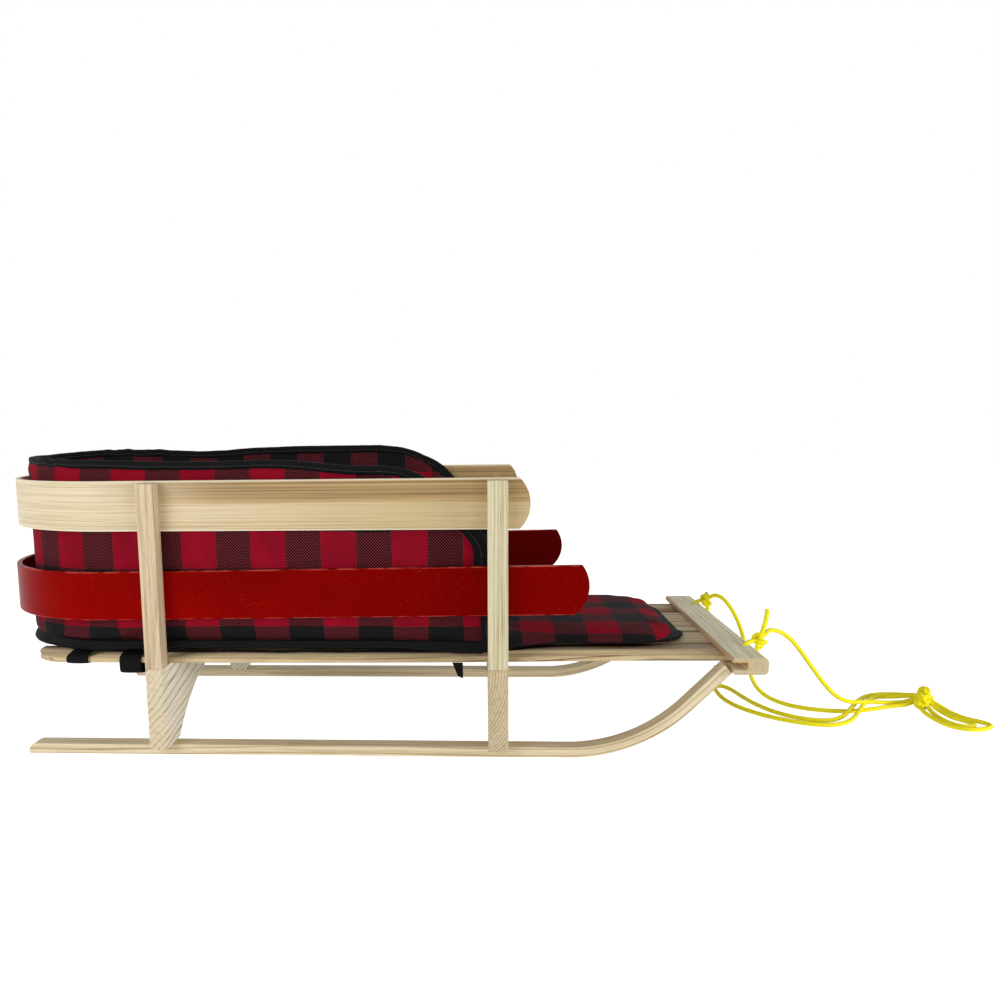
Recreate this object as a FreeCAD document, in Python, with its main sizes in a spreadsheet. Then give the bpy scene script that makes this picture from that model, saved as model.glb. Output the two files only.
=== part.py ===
import FreeCAD, Part
import math
import os
import Sketcher

# Wooden pull sled for a small child.
# Frame: +X towards the tow bar, +Z up, Y across.  The origin is on the ground under the middle
# of the sled.  "right" is the -Y side and "left" the +Y side, as the seated child sees them.

doc = FreeCAD.newDocument("pull_sled")
sheet = doc.addObject("Spreadsheet::Sheet", "Sizes")

# ---------------------------------------------------------------- driving dimensions, mm
SIZES = [
    # overall
    ("half_length", 449.5),
    ("post_face", 187.0),          # outer faces of posts and bolsters, from the middle
    # runners: flat strips steamed up at the front
    ("runner_width", 20.0),
    ("runner_depth", 12.0),
    ("runner_outer", 168.0),
    ("runner_rear", -384.0),
    ("runner_bend_start", 236.0),
    ("runner_bend_radius", 190.0),
    ("runner_front_sum", 511.5),   # x + z on the plane that the front end is cut to
    ("runner_tail_round", 10.0),
    ("runner_tail_bevel", 2.0),
    # bolsters: arched boards that stand on the runners
    ("deck_under", 105.4),
    ("arch_half", 141.0),
    ("arch_radius", 187.2),
    ("foot_chamfer", 3.0),
    ("front_bolster_x", 147.0),
    ("front_bolster_thick", 22.0),
    ("rear_bolster_x", -233.0),
    ("rear_bolster_thick", 19.0),
    # posts
    ("post_top", 311.5),
    ("post_thick", 19.0),
    # deck slats
    ("slat_width", 52.0),
    ("slat_gap", 6.5),
    ("slat_thick", 6.0),
    ("slat_rear", -384.0),
    ("slat_front", 427.0),
    ("slat_corner", 20.0),
    # tow bar across the front
    ("bar_rear", 411.5),
    ("bar_bottom", 98.0),
    ("bar_top", 117.0),
    ("bar_half", 174.0),
    ("bar_nose_radius", 5.0),
    ("bar_bevel", 2.0),
    ("bar_top_bevel", 1.2),
    ("groove_bottom", 103.4),
    ("groove_top", 111.4),
    ("groove_front", 427.5),
    ("rope_hole_x", 438.0),
    ("rope_hole_y", 118.0),
    ("rope_hole_radius", 3.25),
    # bent rails
    ("rail_thick", 6.0),
    ("rail_outer", 168.0),
    ("rail_bend", 166.0),
    ("upper_rail_bottom", 257.5),
    ("upper_rail_top", 313.5),
    ("upper_rail_front", 182.0),
    ("upper_rail_rear", -443.5),
    ("lower_rail_bottom", 154.9),
    ("lower_rail_top", 209.9),
    ("lower_rail_front", 250.0),
    ("lower_rail_rear", -449.5),
    ("lower_rail_lean", 8.5),      # how far its lower front corner is set back
    ("lower_rail_rise", 8.0),      # it climbs this much from back to front
    ("rail_nose_radius", 39.0),
    # pad
    ("pad_bottom", 111.7),
    ("seat_thick", 15.0),
    ("seat_half", 150.0),
    ("seat_rear", -426.5),
    ("seat_bend", 148.0),
    ("seat_front", 382.0),
    ("seat_taper_start", 140.0),   # where its front corners start to be cut off
    ("seat_taper_end", 334.0),
    ("seat_taper_right", 34.0),    # how far each side has come in at the end of its taper
    ("seat_taper_left", 22.0),
    ("seat_nose_right", 62.0),     # the square front edge, each way from the middle
    ("seat_nose_left", 96.0),
    ("seat_corner", 20.0),
    ("wall_bottom", 127.0),
    ("wall_top", 338.0),
    ("wall_outer", 160.0),
    ("wall_thick", 16.0),
    ("wall_rear", -429.5),
    ("wall_bend", 158.0),
    ("wall_round", 105.0),
    ("wall_round_x", 17.0),
    ("wall_front", 153.0),
    ("wall_slope", 48.0),          # degrees, the cut-off top front corner of the side walls
    ("wall_toe", 50.0),            # radius from that slope to the upright front edge
    ("tape_height", 9.0),
    ("tape_thick", 8.0),
    ("hem_height", 9.0),
    ("hem_thick", 3.0),
    ("hem_lift", 3.0),             # its lower edge above the panel's underside
    # straps
    ("strap_width", 25.0),
    ("strap_thick", 1.6),
    ("strap_clear", 0.4),
    ("strap_rear_x", -340.0),
    ("strap_middle_x", -278.0),
    ("strap_front_x", 92.0),
    ("strap_slack", 11.0),         # the middle straps hang this far under the slat
    ("strap_tail_x", 104.0),
    ("strap_tail_width", 12.0),
    ("strap_tail_length", 17.0),
    # fasteners
    ("screw_radius", 1.9),
    ("screw_head_radius", 3.9),
    ("screw_head_depth", 2.2),
    ("slat_screw_length", 25.0),
    ("runner_screw_length", 38.0),
    ("nose_screw_length", 42.0),
    ("nose_screw_sink", 2.0),
    ("rail_screw_length", 20.0),
    ("rail_screw_rise", 14.0),     # each of a pair is this far above or below the rail's middle
    ("rail_screw_shift", 4.2),     # and this far to the front or rear of the post's middle
    ("brad_radius", 0.8),
    ("brad_length", 12.5),
    ("dowel_radius", 4.0),
    ("dowel_length", 40.0),
    ("brad_inset", 8.0),
    # rope
    ("rope_radius", 2.25),
    ("knot_radius", 8.5),
    ("bundle_knot_radius", 12.0),
    # eased edges of the wood
    ("ease", 1.0),
    # how far a trimming shape stands past what it trims
    ("spare", 5.0),
]
for row, (alias, number) in enumerate(SIZES, start=1):
    sheet.set("A%d" % row, alias)
    sheet.set("B%d" % row, str(number))
    sheet.setAlias("B%d" % row, alias)
doc.recompute()

DOWN = FreeCAD.Vector(0, 0, -1)
UP = FreeCAD.Vector(0, 0, 1)
FORWARD = FreeCAD.Vector(1, 0, 0)
SMOOTH_JOIN = 0.97  # two faces whose normals' product is above this meet smoothly
nodes = []


def size(alias):
    """A driving dimension as a plain number."""
    return float(sheet.get(alias))


def formula(text):
    """Point each name of the sheet that a formula uses at the sheet."""
    for alias in sorted((name for name, _ in SIZES), key=len, reverse=True):
        text = text.replace("[%s]" % alias, "%s.%s" % (sheet.Name, alias))
    return text


def worked_out(text):
    """A formula's present value."""
    result = sheet.evalExpression(formula(text))
    return float(getattr(result, "Value", result))


def keep(obj, label):
    """Give a finished sub-part its node name and list it for export."""
    obj.Label = label
    nodes.append(obj)
    return obj


# ---------------------------------------------------------------- sketches and pads
def new_body(name):
    return doc.addObject("PartDesign::Body", name)


def sketch_on(body, role):
    """A sketch on one of the body's own origin planes: XY_Plane, XZ_Plane or YZ_Plane."""
    sketch = body.newObject("Sketcher::SketchObject", body.Name + "_sketch")
    plane = [f for f in body.Origin.OriginFeatures if f.Role == role][0]
    sketch.AttachmentSupport = [(plane, "")]
    sketch.MapMode = "FlatFace"
    return sketch


def arc_between(start, end, radius, side):
    """The short arc from start to end that bulges to the left (side 1) or right (-1)."""
    chord = end.sub(start)
    half = chord.Length / 2
    sagitta = radius - math.sqrt(max(radius * radius - half * half, 0))
    across = FreeCAD.Vector(-chord.y, chord.x, 0).normalize()
    middle = start.add(end).multiply(0.5).add(across.multiply(side * sagitta))
    return Part.Arc(start, middle, end) if side < 0 else Part.Arc(end, middle, start)


def outline(sketch, corners):
    """A closed outline.  Each corner is (x formula, y formula), and a third entry
    (radius formula, side) makes the edge that follows it an arc."""
    spots = [FreeCAD.Vector(worked_out(c[0]), worked_out(c[1]), 0) for c in corners]
    ends = []
    for i, corner in enumerate(corners):
        start, end = spots[i], spots[(i + 1) % len(spots)]
        if len(corner) > 2:
            radius, side = corner[2]
            index = sketch.addGeometry(arc_between(start, end, worked_out(radius), side), False)
            ends.append((index, 1, 2) if side < 0 else (index, 2, 1))
        else:
            index = sketch.addGeometry(Part.LineSegment(start, end), False)
            ends.append((index, 1, 2))
    for i, (index, _, last) in enumerate(ends):
        following, first, _ = ends[(i + 1) % len(ends)]
        sketch.addConstraint(Sketcher.Constraint("Coincident", index, last, following, first))
    for corner, spot, (index, first, _) in zip(corners, spots, ends):
        for kind, value, text in (("DistanceX", spot.x, corner[0]), ("DistanceY", spot.y, corner[1])):
            number = sketch.addConstraint(Sketcher.Constraint(kind, index, first, value))
            sketch.setExpression("Constraints[%d]" % number, formula(text))
        if len(corner) > 2:
            radius = corner[2][0]
            number = sketch.addConstraint(Sketcher.Constraint("Radius", index, worked_out(radius)))
            sketch.setExpression("Constraints[%d]" % number, formula(radius))
    return sketch


def pad(body, sketch, length, middle=False):
    """Extrude a sketch by a length formula, to one side or both."""
    feature = body.newObject("PartDesign::Pad", body.Name + "_pad")
    feature.Profile = sketch
    feature.setExpression("Length", formula(length))
    feature.Midplane = middle
    return feature


def sharp_edges(shape):
    """The numbers of the edges where two faces meet at an angle."""
    sharp = []
    for number, edge in enumerate(shape.Edges, start=1):
        spot = edge.valueAt((edge.FirstParameter + edge.LastParameter) / 2)
        normals = []
        for face in shape.ancestorsOfType(edge, Part.Face):
            u, v = face.Surface.parameter(spot)
            normals.append(face.normalAt(u, v))
        if len(normals) == 2 and abs(normals[0].dot(normals[1])) < SMOOTH_JOIN:
            sharp.append(number)
    return sharp


def ease_edges(body, radius):
    """Round every sharp edge of the body a little."""
    doc.recompute()
    base = body.Tip
    edges = ["Edge%d" % number for number in sharp_edges(base.Shape)]
    feature = body.newObject("PartDesign::Fillet", body.Name + "_ease")
    feature.Base = (base, edges)
    feature.setExpression("Radius", formula(radius))
    return feature


def place(obj, x="0", y="0", z="0"):
    """Bind an object's place to formulas."""
    for axis, text in zip("xyz", (x, y, z)):
        obj.setExpression("Placement.Base." + axis, formula(text))


def without(base, tools, label):
    """The base with the tools' shapes cut away."""
    for i, tool in enumerate(tools):
        cut = doc.addObject("Part::Cut", "%s_cut_%d" % (label, i + 1))
        cut.Base = base
        cut.Tool = tool
        base = cut
    return keep(base, label)


# ---------------------------------------------------------------- fasteners
def screw_shape(spot, direction, length, recess):
    """A flat-head wood screw: its head's face is at the spot and it points along direction.
    The cross recess and the point are in proportion to the head and the shank."""
    head_radius, radius = size("screw_head_radius"), size("screw_radius")
    head_depth = size("screw_head_depth")
    tip = 1.6 * radius
    head = Part.makeCone(head_radius, radius, head_depth)
    shank = Part.makeCylinder(radius, length - head_depth - tip, UP * head_depth)
    point = Part.makeCone(radius, radius * 0.15, tip, UP * (length - tip))
    shape = head.fuse([shank, point]).removeSplitter()
    if recess:
        slot_length, slot_width, slot_depth = head_radius * 1.2, head_radius * 0.28, head_depth * 0.7
        for long_x, long_y in ((slot_length, slot_width), (slot_width, slot_length)):
            corner = FreeCAD.Vector(-long_x / 2, -long_y / 2, -1)
            shape = shape.cut(Part.makeBox(long_x, long_y, slot_depth + 1, corner))
    turn = FreeCAD.Rotation(UP, direction)
    shape.Placement = FreeCAD.Placement(spot, turn)
    return shape


def screw_group(label, places, length):
    """Screws as one sub-part, and the holes that they cut as a tool."""
    screws = doc.addObject("Part::Feature", label)
    screws.Shape = Part.makeCompound([screw_shape(s, d, length, True) for s, d in places])
    holes = doc.addObject("Part::Feature", label + "_holes")
    holes.Shape = Part.makeCompound([screw_shape(s, d, length, False) for s, d in places])
    keep(screws, label)
    return holes


def round_pins(label, places, radius, length):
    """Plain round pins standing up from each place."""
    pins = doc.addObject("Part::Feature", label)
    pins.Shape = Part.makeCompound([Part.makeCylinder(radius, length, spot) for spot in places])
    return keep(pins, label)


bolster_x = {
    "front": size("front_bolster_x") + size("front_bolster_thick") / 2,
    "rear": size("rear_bolster_x") + size("rear_bolster_thick") / 2,
}
slat_pitch = size("slat_width") + size("slat_gap")
slat_middles = [slat_pitch * k for k in (-2, -1, 0, 1, 2)]
slat_top = size("deck_under") + size("slat_thick")

slat_holes = screw_group(
    "slat_screws",
    [(FreeCAD.Vector(x, y, slat_top), DOWN) for x in bolster_x.values() for y in slat_middles],
    size("slat_screw_length"))

runner_middle = size("runner_outer") - size("runner_width") / 2
runner_holes = screw_group(
    "runner_screws",
    [(FreeCAD.Vector(x, side * runner_middle, 0), UP) for x in bolster_x.values() for side in (-1, 1)],
    size("runner_screw_length"))

# One screw per runner goes level through the sloping end into the tow bar's lower lip.
nose_screw_z = (size("bar_bottom") + size("groove_bottom")) / 2
nose_slope = size("runner_front_sum") - nose_screw_z - size("runner_depth") * math.sqrt(2)
nose_x = nose_slope + size("nose_screw_sink")
nose_holes = screw_group(
    "runner_nose_screws",
    [(FreeCAD.Vector(nose_x, side * runner_middle, nose_screw_z), FORWARD) for side in (-1, 1)],
    size("nose_screw_length"))

rise = size("lower_rail_rise") / (size("lower_rail_front") + size("half_length"))
rail_inner = size("rail_outer") - size("rail_thick")
rail_places = []
for x in bolster_x.values():
    upper = (size("upper_rail_bottom") + size("upper_rail_top")) / 2
    lower = (size("lower_rail_bottom") + size("lower_rail_top")) / 2
    lower += rise * (x + size("half_length"))
    for z in (upper, lower):
        for way in (-1, 1):
            for side in (-1, 1):
                spot = FreeCAD.Vector(x + way * size("rail_screw_shift"), side * rail_inner,
                                      z + way * size("rail_screw_rise"))
                rail_places.append((spot, FreeCAD.Vector(0, side, 0)))
rail_holes = screw_group("rail_screws", rail_places, size("rail_screw_length"))

dowel_length = size("dowel_length")
post_middle = size("post_face") - size("post_thick") / 2
dowels = round_pins(
    "post_dowels",
    [FreeCAD.Vector(x, side * post_middle, size("deck_under") - dowel_length / 2)
     for x in bolster_x.values() for side in (-1, 1)],
    size("dowel_radius"), dowel_length)

brads = round_pins(
    "tow_bar_brads",
    [FreeCAD.Vector(size("bar_rear") + size("brad_inset"), y, size("bar_bottom")) for y in slat_middles],
    size("brad_radius"), size("brad_length"))


# ---------------------------------------------------------------- runners
def runner(name):
    """A strip seen from the side: flat, then bent up at 45 degrees to a square-cut end."""
    inner_radius = "([runner_bend_radius] - [runner_depth])"
    body = new_body(name + "_body")
    sketch = sketch_on(body, "XZ_Plane")
    outer_x = "[runner_bend_start] + [runner_bend_radius] * cos(45)"
    outer_z = "[runner_bend_radius] * (1 - cos(45))"
    inner_x = "[runner_bend_start] + %s * cos(45)" % inner_radius
    inner_z = "[runner_bend_radius] - %s * cos(45)" % inner_radius
    low = "(%s - (%s))" % (outer_x, outer_z)
    high = "(%s - (%s))" % (inner_x, inner_z)
    outline(sketch, [
        ("[runner_rear]", "[runner_tail_bevel]"),
        ("[runner_rear] + [runner_tail_bevel]", "0"),
        ("[runner_bend_start]", "0", ("[runner_bend_radius]", -1)),
        (outer_x, outer_z),
        ("([runner_front_sum] + %s) / 2" % low, "([runner_front_sum] - %s) / 2" % low),
        ("([runner_front_sum] + %s) / 2" % high, "([runner_front_sum] - %s) / 2" % high),
        (inner_x, inner_z, (inner_radius, 1)),
        ("[runner_bend_start]", "[runner_depth]"),
        ("[runner_rear] + [runner_tail_round]", "[runner_depth]", ("[runner_tail_round]", -1)),
    ])
    pad(body, sketch, "[runner_width]", middle=True)
    ease_edges(body, "[ease]")
    return body


for side_name, sign in (("right", "-1"), ("left", "1")):
    strip = runner("runner_" + side_name)
    place(strip, y=sign + " * ([runner_outer] - [runner_width] / 2)")
    without(strip, [runner_holes, nose_holes], "runner_" + side_name)


# ---------------------------------------------------------------- bolsters
def bolster(end):
    """An arched board across the sled with a foot on each runner."""
    label = end + "_bolster"
    body = new_body(label + "_body")
    sketch = sketch_on(body, "YZ_Plane")
    outline(sketch, [
        ("-[post_face]", "[runner_depth] + [foot_chamfer]"),
        ("-[post_face] + [foot_chamfer]", "[runner_depth]"),
        ("-[arch_half]", "[runner_depth]", ("[arch_radius]", 1)),
        ("[arch_half]", "[runner_depth]"),
        ("[post_face] - [foot_chamfer]", "[runner_depth]"),
        ("[post_face]", "[runner_depth] + [foot_chamfer]"),
        ("[post_face]", "[deck_under]"),
        ("-[post_face]", "[deck_under]"),
    ])
    pad(body, sketch, "[%s_bolster_thick]" % end)
    ease_edges(body, "[ease]")
    place(body, x="[%s_bolster_x]" % end)
    return without(body, [slat_holes, runner_holes, dowels], label)


bolster("front")
bolster("rear")


# ---------------------------------------------------------------- posts
def post(end, side_name, sign):
    """A square post that stands on the bolster's end, outside both rails."""
    label = "%s_post_%s" % (end, side_name)
    body = new_body(label + "_body")
    sketch = sketch_on(body, "XY_Plane")
    thick = "[%s_bolster_thick]" % end
    outline(sketch, [
        ("0", "-[post_thick] / 2"),
        (thick, "-[post_thick] / 2"),
        (thick, "[post_thick] / 2"),
        ("0", "[post_thick] / 2"),
    ])
    pad(body, sketch, "[post_top] - [deck_under]")
    ease_edges(body, "[ease]")
    middle = "%s * ([post_face] - [post_thick] / 2)" % sign
    place(body, x="[%s_bolster_x]" % end, y=middle, z="[deck_under]")
    return without(body, [rail_holes, dowels], label)


for end in ("front", "rear"):
    for side_name, sign in (("right", "-1"), ("left", "1")):
        post(end, side_name, sign)


# ---------------------------------------------------------------- deck slats
def slat(number):
    """A thin board with rounded rear corners."""
    label = "seat_slat_%d" % number
    body = new_body(label + "_body")
    sketch = sketch_on(body, "XY_Plane")
    half = "[slat_width] / 2"
    outline(sketch, [
        ("[slat_rear]", "-%s + [slat_corner]" % half, ("[slat_corner]", -1)),
        ("[slat_rear] + [slat_corner]", "-" + half),
        ("[slat_front]", "-" + half),
        ("[slat_front]", half),
        ("[slat_rear] + [slat_corner]", half, ("[slat_corner]", -1)),
        ("[slat_rear]", "%s - [slat_corner]" % half),
    ])
    pad(body, sketch, "[slat_thick]")
    ease_edges(body, "[ease]")
    place(body, y="%d * ([slat_width] + [slat_gap])" % (number - 3), z="[deck_under]")
    return without(body, [slat_holes, brads], label)


for number in (1, 2, 3, 4, 5):
    slat(number)


# ---------------------------------------------------------------- tow bar
def tow_bar():
    """A bar with a groove in its rear face that takes the slats' front ends."""
    body = new_body("tow_bar_body")
    sketch = sketch_on(body, "XZ_Plane")
    bevelled_z = "[bar_bottom] + [bar_bevel]"
    outline(sketch, [
        ("[bar_rear]", bevelled_z),
        ("[bar_rear] + [bar_bevel]", "[bar_bottom]"),
        ("[half_length] - [bar_nose_radius]", "[bar_bottom]", ("[bar_nose_radius]", -1)),
        ("[half_length]", "[bar_bottom] + [bar_nose_radius]"),
        ("[half_length]", "[bar_top] - [bar_nose_radius]", ("[bar_nose_radius]", -1)),
        ("[half_length] - [bar_nose_radius]", "[bar_top]"),
        ("[bar_rear] + [bar_top_bevel]", "[bar_top]"),
        ("[bar_rear]", "[bar_top] - 2 * [bar_top_bevel]"),
        ("[bar_rear]", "[groove_top]"),
        ("[groove_front]", "[groove_top]"),
        ("[groove_front]", "[groove_bottom]"),
        ("[bar_rear]", "[groove_bottom]"),
    ])
    pad(body, sketch, "2 * [bar_half]", middle=True)
    doc.recompute()
    holes = body.newObject("Sketcher::SketchObject", "rope_hole_sketch")
    plane = [f for f in body.Origin.OriginFeatures if f.Role == "XY_Plane"][0]
    holes.AttachmentSupport = [(plane, "")]
    holes.MapMode = "FlatFace"
    radius = size("rope_hole_radius")
    for sign in (-1, 1):
        spot = FreeCAD.Vector(size("rope_hole_x"), sign * size("rope_hole_y"), 0)
        index = holes.addGeometry(Part.Circle(spot, UP, radius), False)
        for kind, value, text in (("DistanceX", spot.x, "[rope_hole_x]"),
                                  ("DistanceY", spot.y, "%d * [rope_hole_y]" % sign)):
            number = holes.addConstraint(Sketcher.Constraint(kind, index, 3, value))
            holes.setExpression("Constraints[%d]" % number, formula(text))
        number = holes.addConstraint(Sketcher.Constraint("Radius", index, radius))
        holes.setExpression("Constraints[%d]" % number, formula("[rope_hole_radius]"))
    pocket = body.newObject("PartDesign::Pocket", "rope_holes")
    pocket.Profile = holes
    pocket.Type = 1
    pocket.Midplane = True
    body.Tip = pocket
    return without(body, [nose_holes, brads], "tow_bar")


tow_bar()


# ---------------------------------------------------------------- bent rails
def u_outline(sketch, front, rear, outer, bend, thick):
    """A U seen from above: two straight sides joined by a bend, bend, back and bend."""
    inner = "(%s - %s)" % (outer, thick)
    inner_bend = "(%s - %s)" % (bend, thick)
    outline(sketch, [
        (front, "-" + outer),
        (front, "-" + inner),
        ("%s + %s" % (rear, bend), "-" + inner, (inner_bend, 1)),
        ("%s + %s" % (rear, thick), "-%s + %s" % (outer, bend)),
        ("%s + %s" % (rear, thick), "%s - %s" % (outer, bend), (inner_bend, 1)),
        ("%s + %s" % (rear, bend), inner),
        (front, inner),
        (front, outer),
        ("%s + %s" % (rear, bend), outer, (bend, -1)),
        (rear, "%s - %s" % (outer, bend)),
        (rear, "-%s + %s" % (outer, bend), (bend, -1)),
        ("%s + %s" % (rear, bend), "-" + outer),
    ])


def trimmed(body, corners):
    """Keep only what is inside a side outline."""
    doc.recompute()
    rest = new_body(body.Name + "_side")
    sketch = sketch_on(rest, "XZ_Plane")
    outline(sketch, corners)
    pad(rest, sketch, "3 * [post_face]", middle=True)
    common = doc.addObject("Part::Common", body.Name + "_trim")
    common.Base = body
    common.Tool = rest
    return common


def rail(which, lean, rise):
    """A strip bent round the seat, on edge, with rounded front ends."""
    label = which + "_rail"
    bottom, top, front, rear = ["[%s_%s]" % (label, word) for word in ("bottom", "top", "front", "rear")]
    body = new_body(label + "_body")
    sketch = sketch_on(body, "XY_Plane")
    u_outline(sketch, front + " + [rail_nose_radius]", rear, "[rail_outer]", "[rail_bend]", "[rail_thick]")
    pad(body, sketch, "[wall_top]")
    ends = trimmed(body, [
        ("-[half_length] - [spare]", bottom),
        ("%s - %s" % (front, lean), "%s + %s" % (bottom, rise), ("[rail_nose_radius]", -1)),
        (front, "%s + %s" % (top, rise)),
        ("-[half_length] - [spare]", top),
    ])
    doc.recompute()
    eased = doc.addObject("Part::Fillet", label + "_ease")
    eased.Base = ends
    eased.Edges = [(number, size("ease"), size("ease")) for number in sharp_edges(ends.Shape)]
    return without(eased, [rail_holes], label)


rail("upper", "0", "0")
rail("lower", "[lower_rail_lean]", "[lower_rail_rise]")


# ---------------------------------------------------------------- pad
def wall_edge(offset):
    """Side view of the wall's free edge, inset by an offset: from the foot of its front edge up
    and round to its level top.  Each entry is a corner of an outline."""
    slope = "[wall_slope]"
    toe = "([wall_toe] - %s)" % offset
    radius = "([wall_round] - %s)" % offset
    toe_x = "([wall_front] - [wall_toe])"
    round_z = "([wall_top] - [wall_round])"
    across = "([wall_round] - [wall_toe] - sin(%s) * (%s - [wall_round_x]))" % (slope, toe_x)
    toe_z = "(%s + %s / cos(%s))" % (round_z, across, slope)
    return [
        ("[wall_front] - " + offset, "[wall_bottom]"),
        ("[wall_front] - " + offset, toe_z, (toe, -1)),
        ("%s + %s * sin(%s)" % (toe_x, toe, slope), "%s + %s * cos(%s)" % (toe_z, toe, slope)),
        ("[wall_round_x] + %s * sin(%s)" % (radius, slope), "%s + %s * cos(%s)" % (round_z, radius, slope),
         (radius, -1)),
        ("[wall_round_x]", "[wall_top] - " + offset),
        ("[wall_rear] - [spare]", "[wall_top] - " + offset),
    ]


def reversed_edge(corners):
    """The same corners the other way round, with each arc on the edge that it belongs to."""
    turned = [corner[:2] for corner in reversed(corners)]
    for i, corner in enumerate(corners):
        if len(corner) > 2:
            radius, side = corner[2]
            arc_start = len(corners) - 2 - i
            turned[arc_start] = turned[arc_start] + ((radius, -side),)
    return turned


def u_wall(label, inset, side_outline):
    """A U-shaped wall of the pad, thinner than the panel by an inset on each face."""
    body = new_body(label + "_body")
    sketch = sketch_on(body, "XY_Plane")
    u_outline(sketch, "[seat_front]", "([wall_rear] + %s)" % inset, "([wall_outer] - %s)" % inset,
              "([wall_bend] - %s)" % inset, "([wall_thick] - 2 * %s)" % inset)
    pad(body, sketch, "[wall_top] + [spare]")
    return keep(trimmed(body, side_outline), label)


tape_inset = "(([wall_thick] - [tape_thick]) / 2)"
u_wall("back_cushion", "0", wall_edge("[tape_height]") + [("[wall_rear] - [spare]", "[wall_bottom]")])
u_wall("back_cushion_tape", tape_inset, wall_edge("0") + reversed_edge(wall_edge("[tape_height]")))


def seat_cushion():
    """The flat panel on the slats, with its front corners cut off, and the tape round its edge."""
    body = new_body("seat_cushion_body")
    sketch = sketch_on(body, "XY_Plane")
    outline(sketch, [
        ("[seat_rear]", "-[seat_half] + [seat_bend]", ("[seat_bend]", -1)),
        ("[seat_rear] + [seat_bend]", "-[seat_half]"),
        ("[seat_taper_start]", "-[seat_half]"),
        ("[seat_taper_end]", "-[seat_half] + [seat_taper_right]"),
        ("[seat_front]", "-[seat_nose_right]"),
        ("[seat_front]", "[seat_nose_left]"),
        ("[seat_front] - [seat_corner]", "[seat_half] - [seat_taper_left] - [seat_corner] / 2"),
        ("[seat_taper_end]", "[seat_half] - [seat_taper_left]"),
        ("[seat_taper_start]", "[seat_half]"),
        ("[seat_rear] + [seat_bend]", "[seat_half]", ("[seat_bend]", -1)),
        ("[seat_rear]", "[seat_half] - [seat_bend]"),
    ])
    pad(body, sketch, "[seat_thick]")
    place(body, z="[pad_bottom]")
    keep(body, "seat_cushion")
    wider = doc.addObject("Part::Offset2D", "hem_outline")
    wider.Source = sketch
    wider.setExpression("Value", formula("[hem_thick]"))
    band = doc.addObject("Part::Extrusion", "hem_band")
    band.Base = wider
    band.DirMode = "Custom"
    band.Dir = UP
    band.Solid = True
    band.setExpression("LengthFwd", formula("[hem_height]"))
    band.setExpression("Placement.Base.z", formula("[pad_bottom] + [hem_lift]"))
    without(band, [body], "seat_cushion_tape")


seat_cushion()


# ---------------------------------------------------------------- straps
SLAT_EDGE = "(2.5 * [slat_width] + 2 * [slat_gap])"
STRAP_OUTER = "(%s + [strap_clear] + [strap_thick])" % SLAT_EDGE


def strap(name, side_name, side, slack):
    """A webbing loop round the outer slat: down its edge, under it and up through the gap."""
    label = "pad_strap_%s_%s" % (name, side_name)
    body = new_body(label + "_body")
    sketch = sketch_on(body, "YZ_Plane")
    inner = "(%s - [slat_width] - ([slat_gap] + [strap_thick]) / 2)" % SLAT_EDGE
    low = "([deck_under] - [strap_thick] - %s)" % slack
    profile = [
        (STRAP_OUTER, "[pad_bottom]"),
        (STRAP_OUTER, low),
        (inner, low),
        (inner, "[pad_bottom]"),
        (inner + " + [strap_thick]", "[pad_bottom]"),
        (inner + " + [strap_thick]", low + " + [strap_thick]"),
        (STRAP_OUTER + " - [strap_thick]", low + " + [strap_thick]"),
        (STRAP_OUTER + " - [strap_thick]", "[pad_bottom]"),
    ]
    outline(sketch, [("%d * (%s)" % (side, y), z) for y, z in profile])
    pad(body, sketch, "[strap_width]")
    place(body, x="[strap_%s_x]" % name)
    keep(body, label)


def strap_tail(side_name, side):
    """The loose end of a front strap, hanging under the slat."""
    label = "pad_strap_tail_" + side_name
    tail = doc.addObject("Part::Box", label)
    for edge, alias in (("Length", "strap_tail_width"), ("Width", "strap_thick"),
                        ("Height", "strap_tail_length")):
        tail.setExpression(edge, formula("[%s]" % alias))
    middle = "%d * (%s - [strap_thick] / 2)" % (side, STRAP_OUTER)
    place(tail, x="[strap_tail_x]", y=middle + " - [strap_thick] / 2",
          z="[deck_under] - [strap_thick] - [strap_clear] - [strap_tail_length]")
    keep(tail, label)


for side_name, side in (("right", -1), ("left", 1)):
    strap("rear", side_name, side, "[strap_clear]")
    strap("middle", side_name, side, "[strap_slack]")
    strap("front", side_name, side, "[strap_clear]")
    strap_tail(side_name, side)


# ---------------------------------------------------------------- tow rope
def cord_path(points):
    """Straight runs joined by tangent arcs, each as large as its two runs allow."""
    spots = [FreeCAD.Vector(*point) for point in points]
    edges, radii = [], []
    last = spots[0]
    for before, corner, after in zip(spots, spots[1:], spots[2:]):
        back, ahead = before.sub(corner), after.sub(corner)
        turn = math.pi - back.getAngle(ahead)
        reach = 0.45 * min(back.Length, ahead.Length)
        radius = reach / math.tan(turn / 2)
        back.normalize()
        ahead.normalize()
        start = corner.add(back * reach)
        end = corner.add(ahead * reach)
        halfway = back.add(ahead).normalize()
        middle = corner.add(halfway * (math.hypot(radius, reach) - radius))
        edges.append(Part.LineSegment(last, start).toShape())
        edges.append(Part.Arc(start, middle, end).toShape())
        radii.append(radius)
        last = end
    edges.append(Part.LineSegment(last, spots[-1]).toShape())
    return Part.Wire(edges), radii


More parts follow.
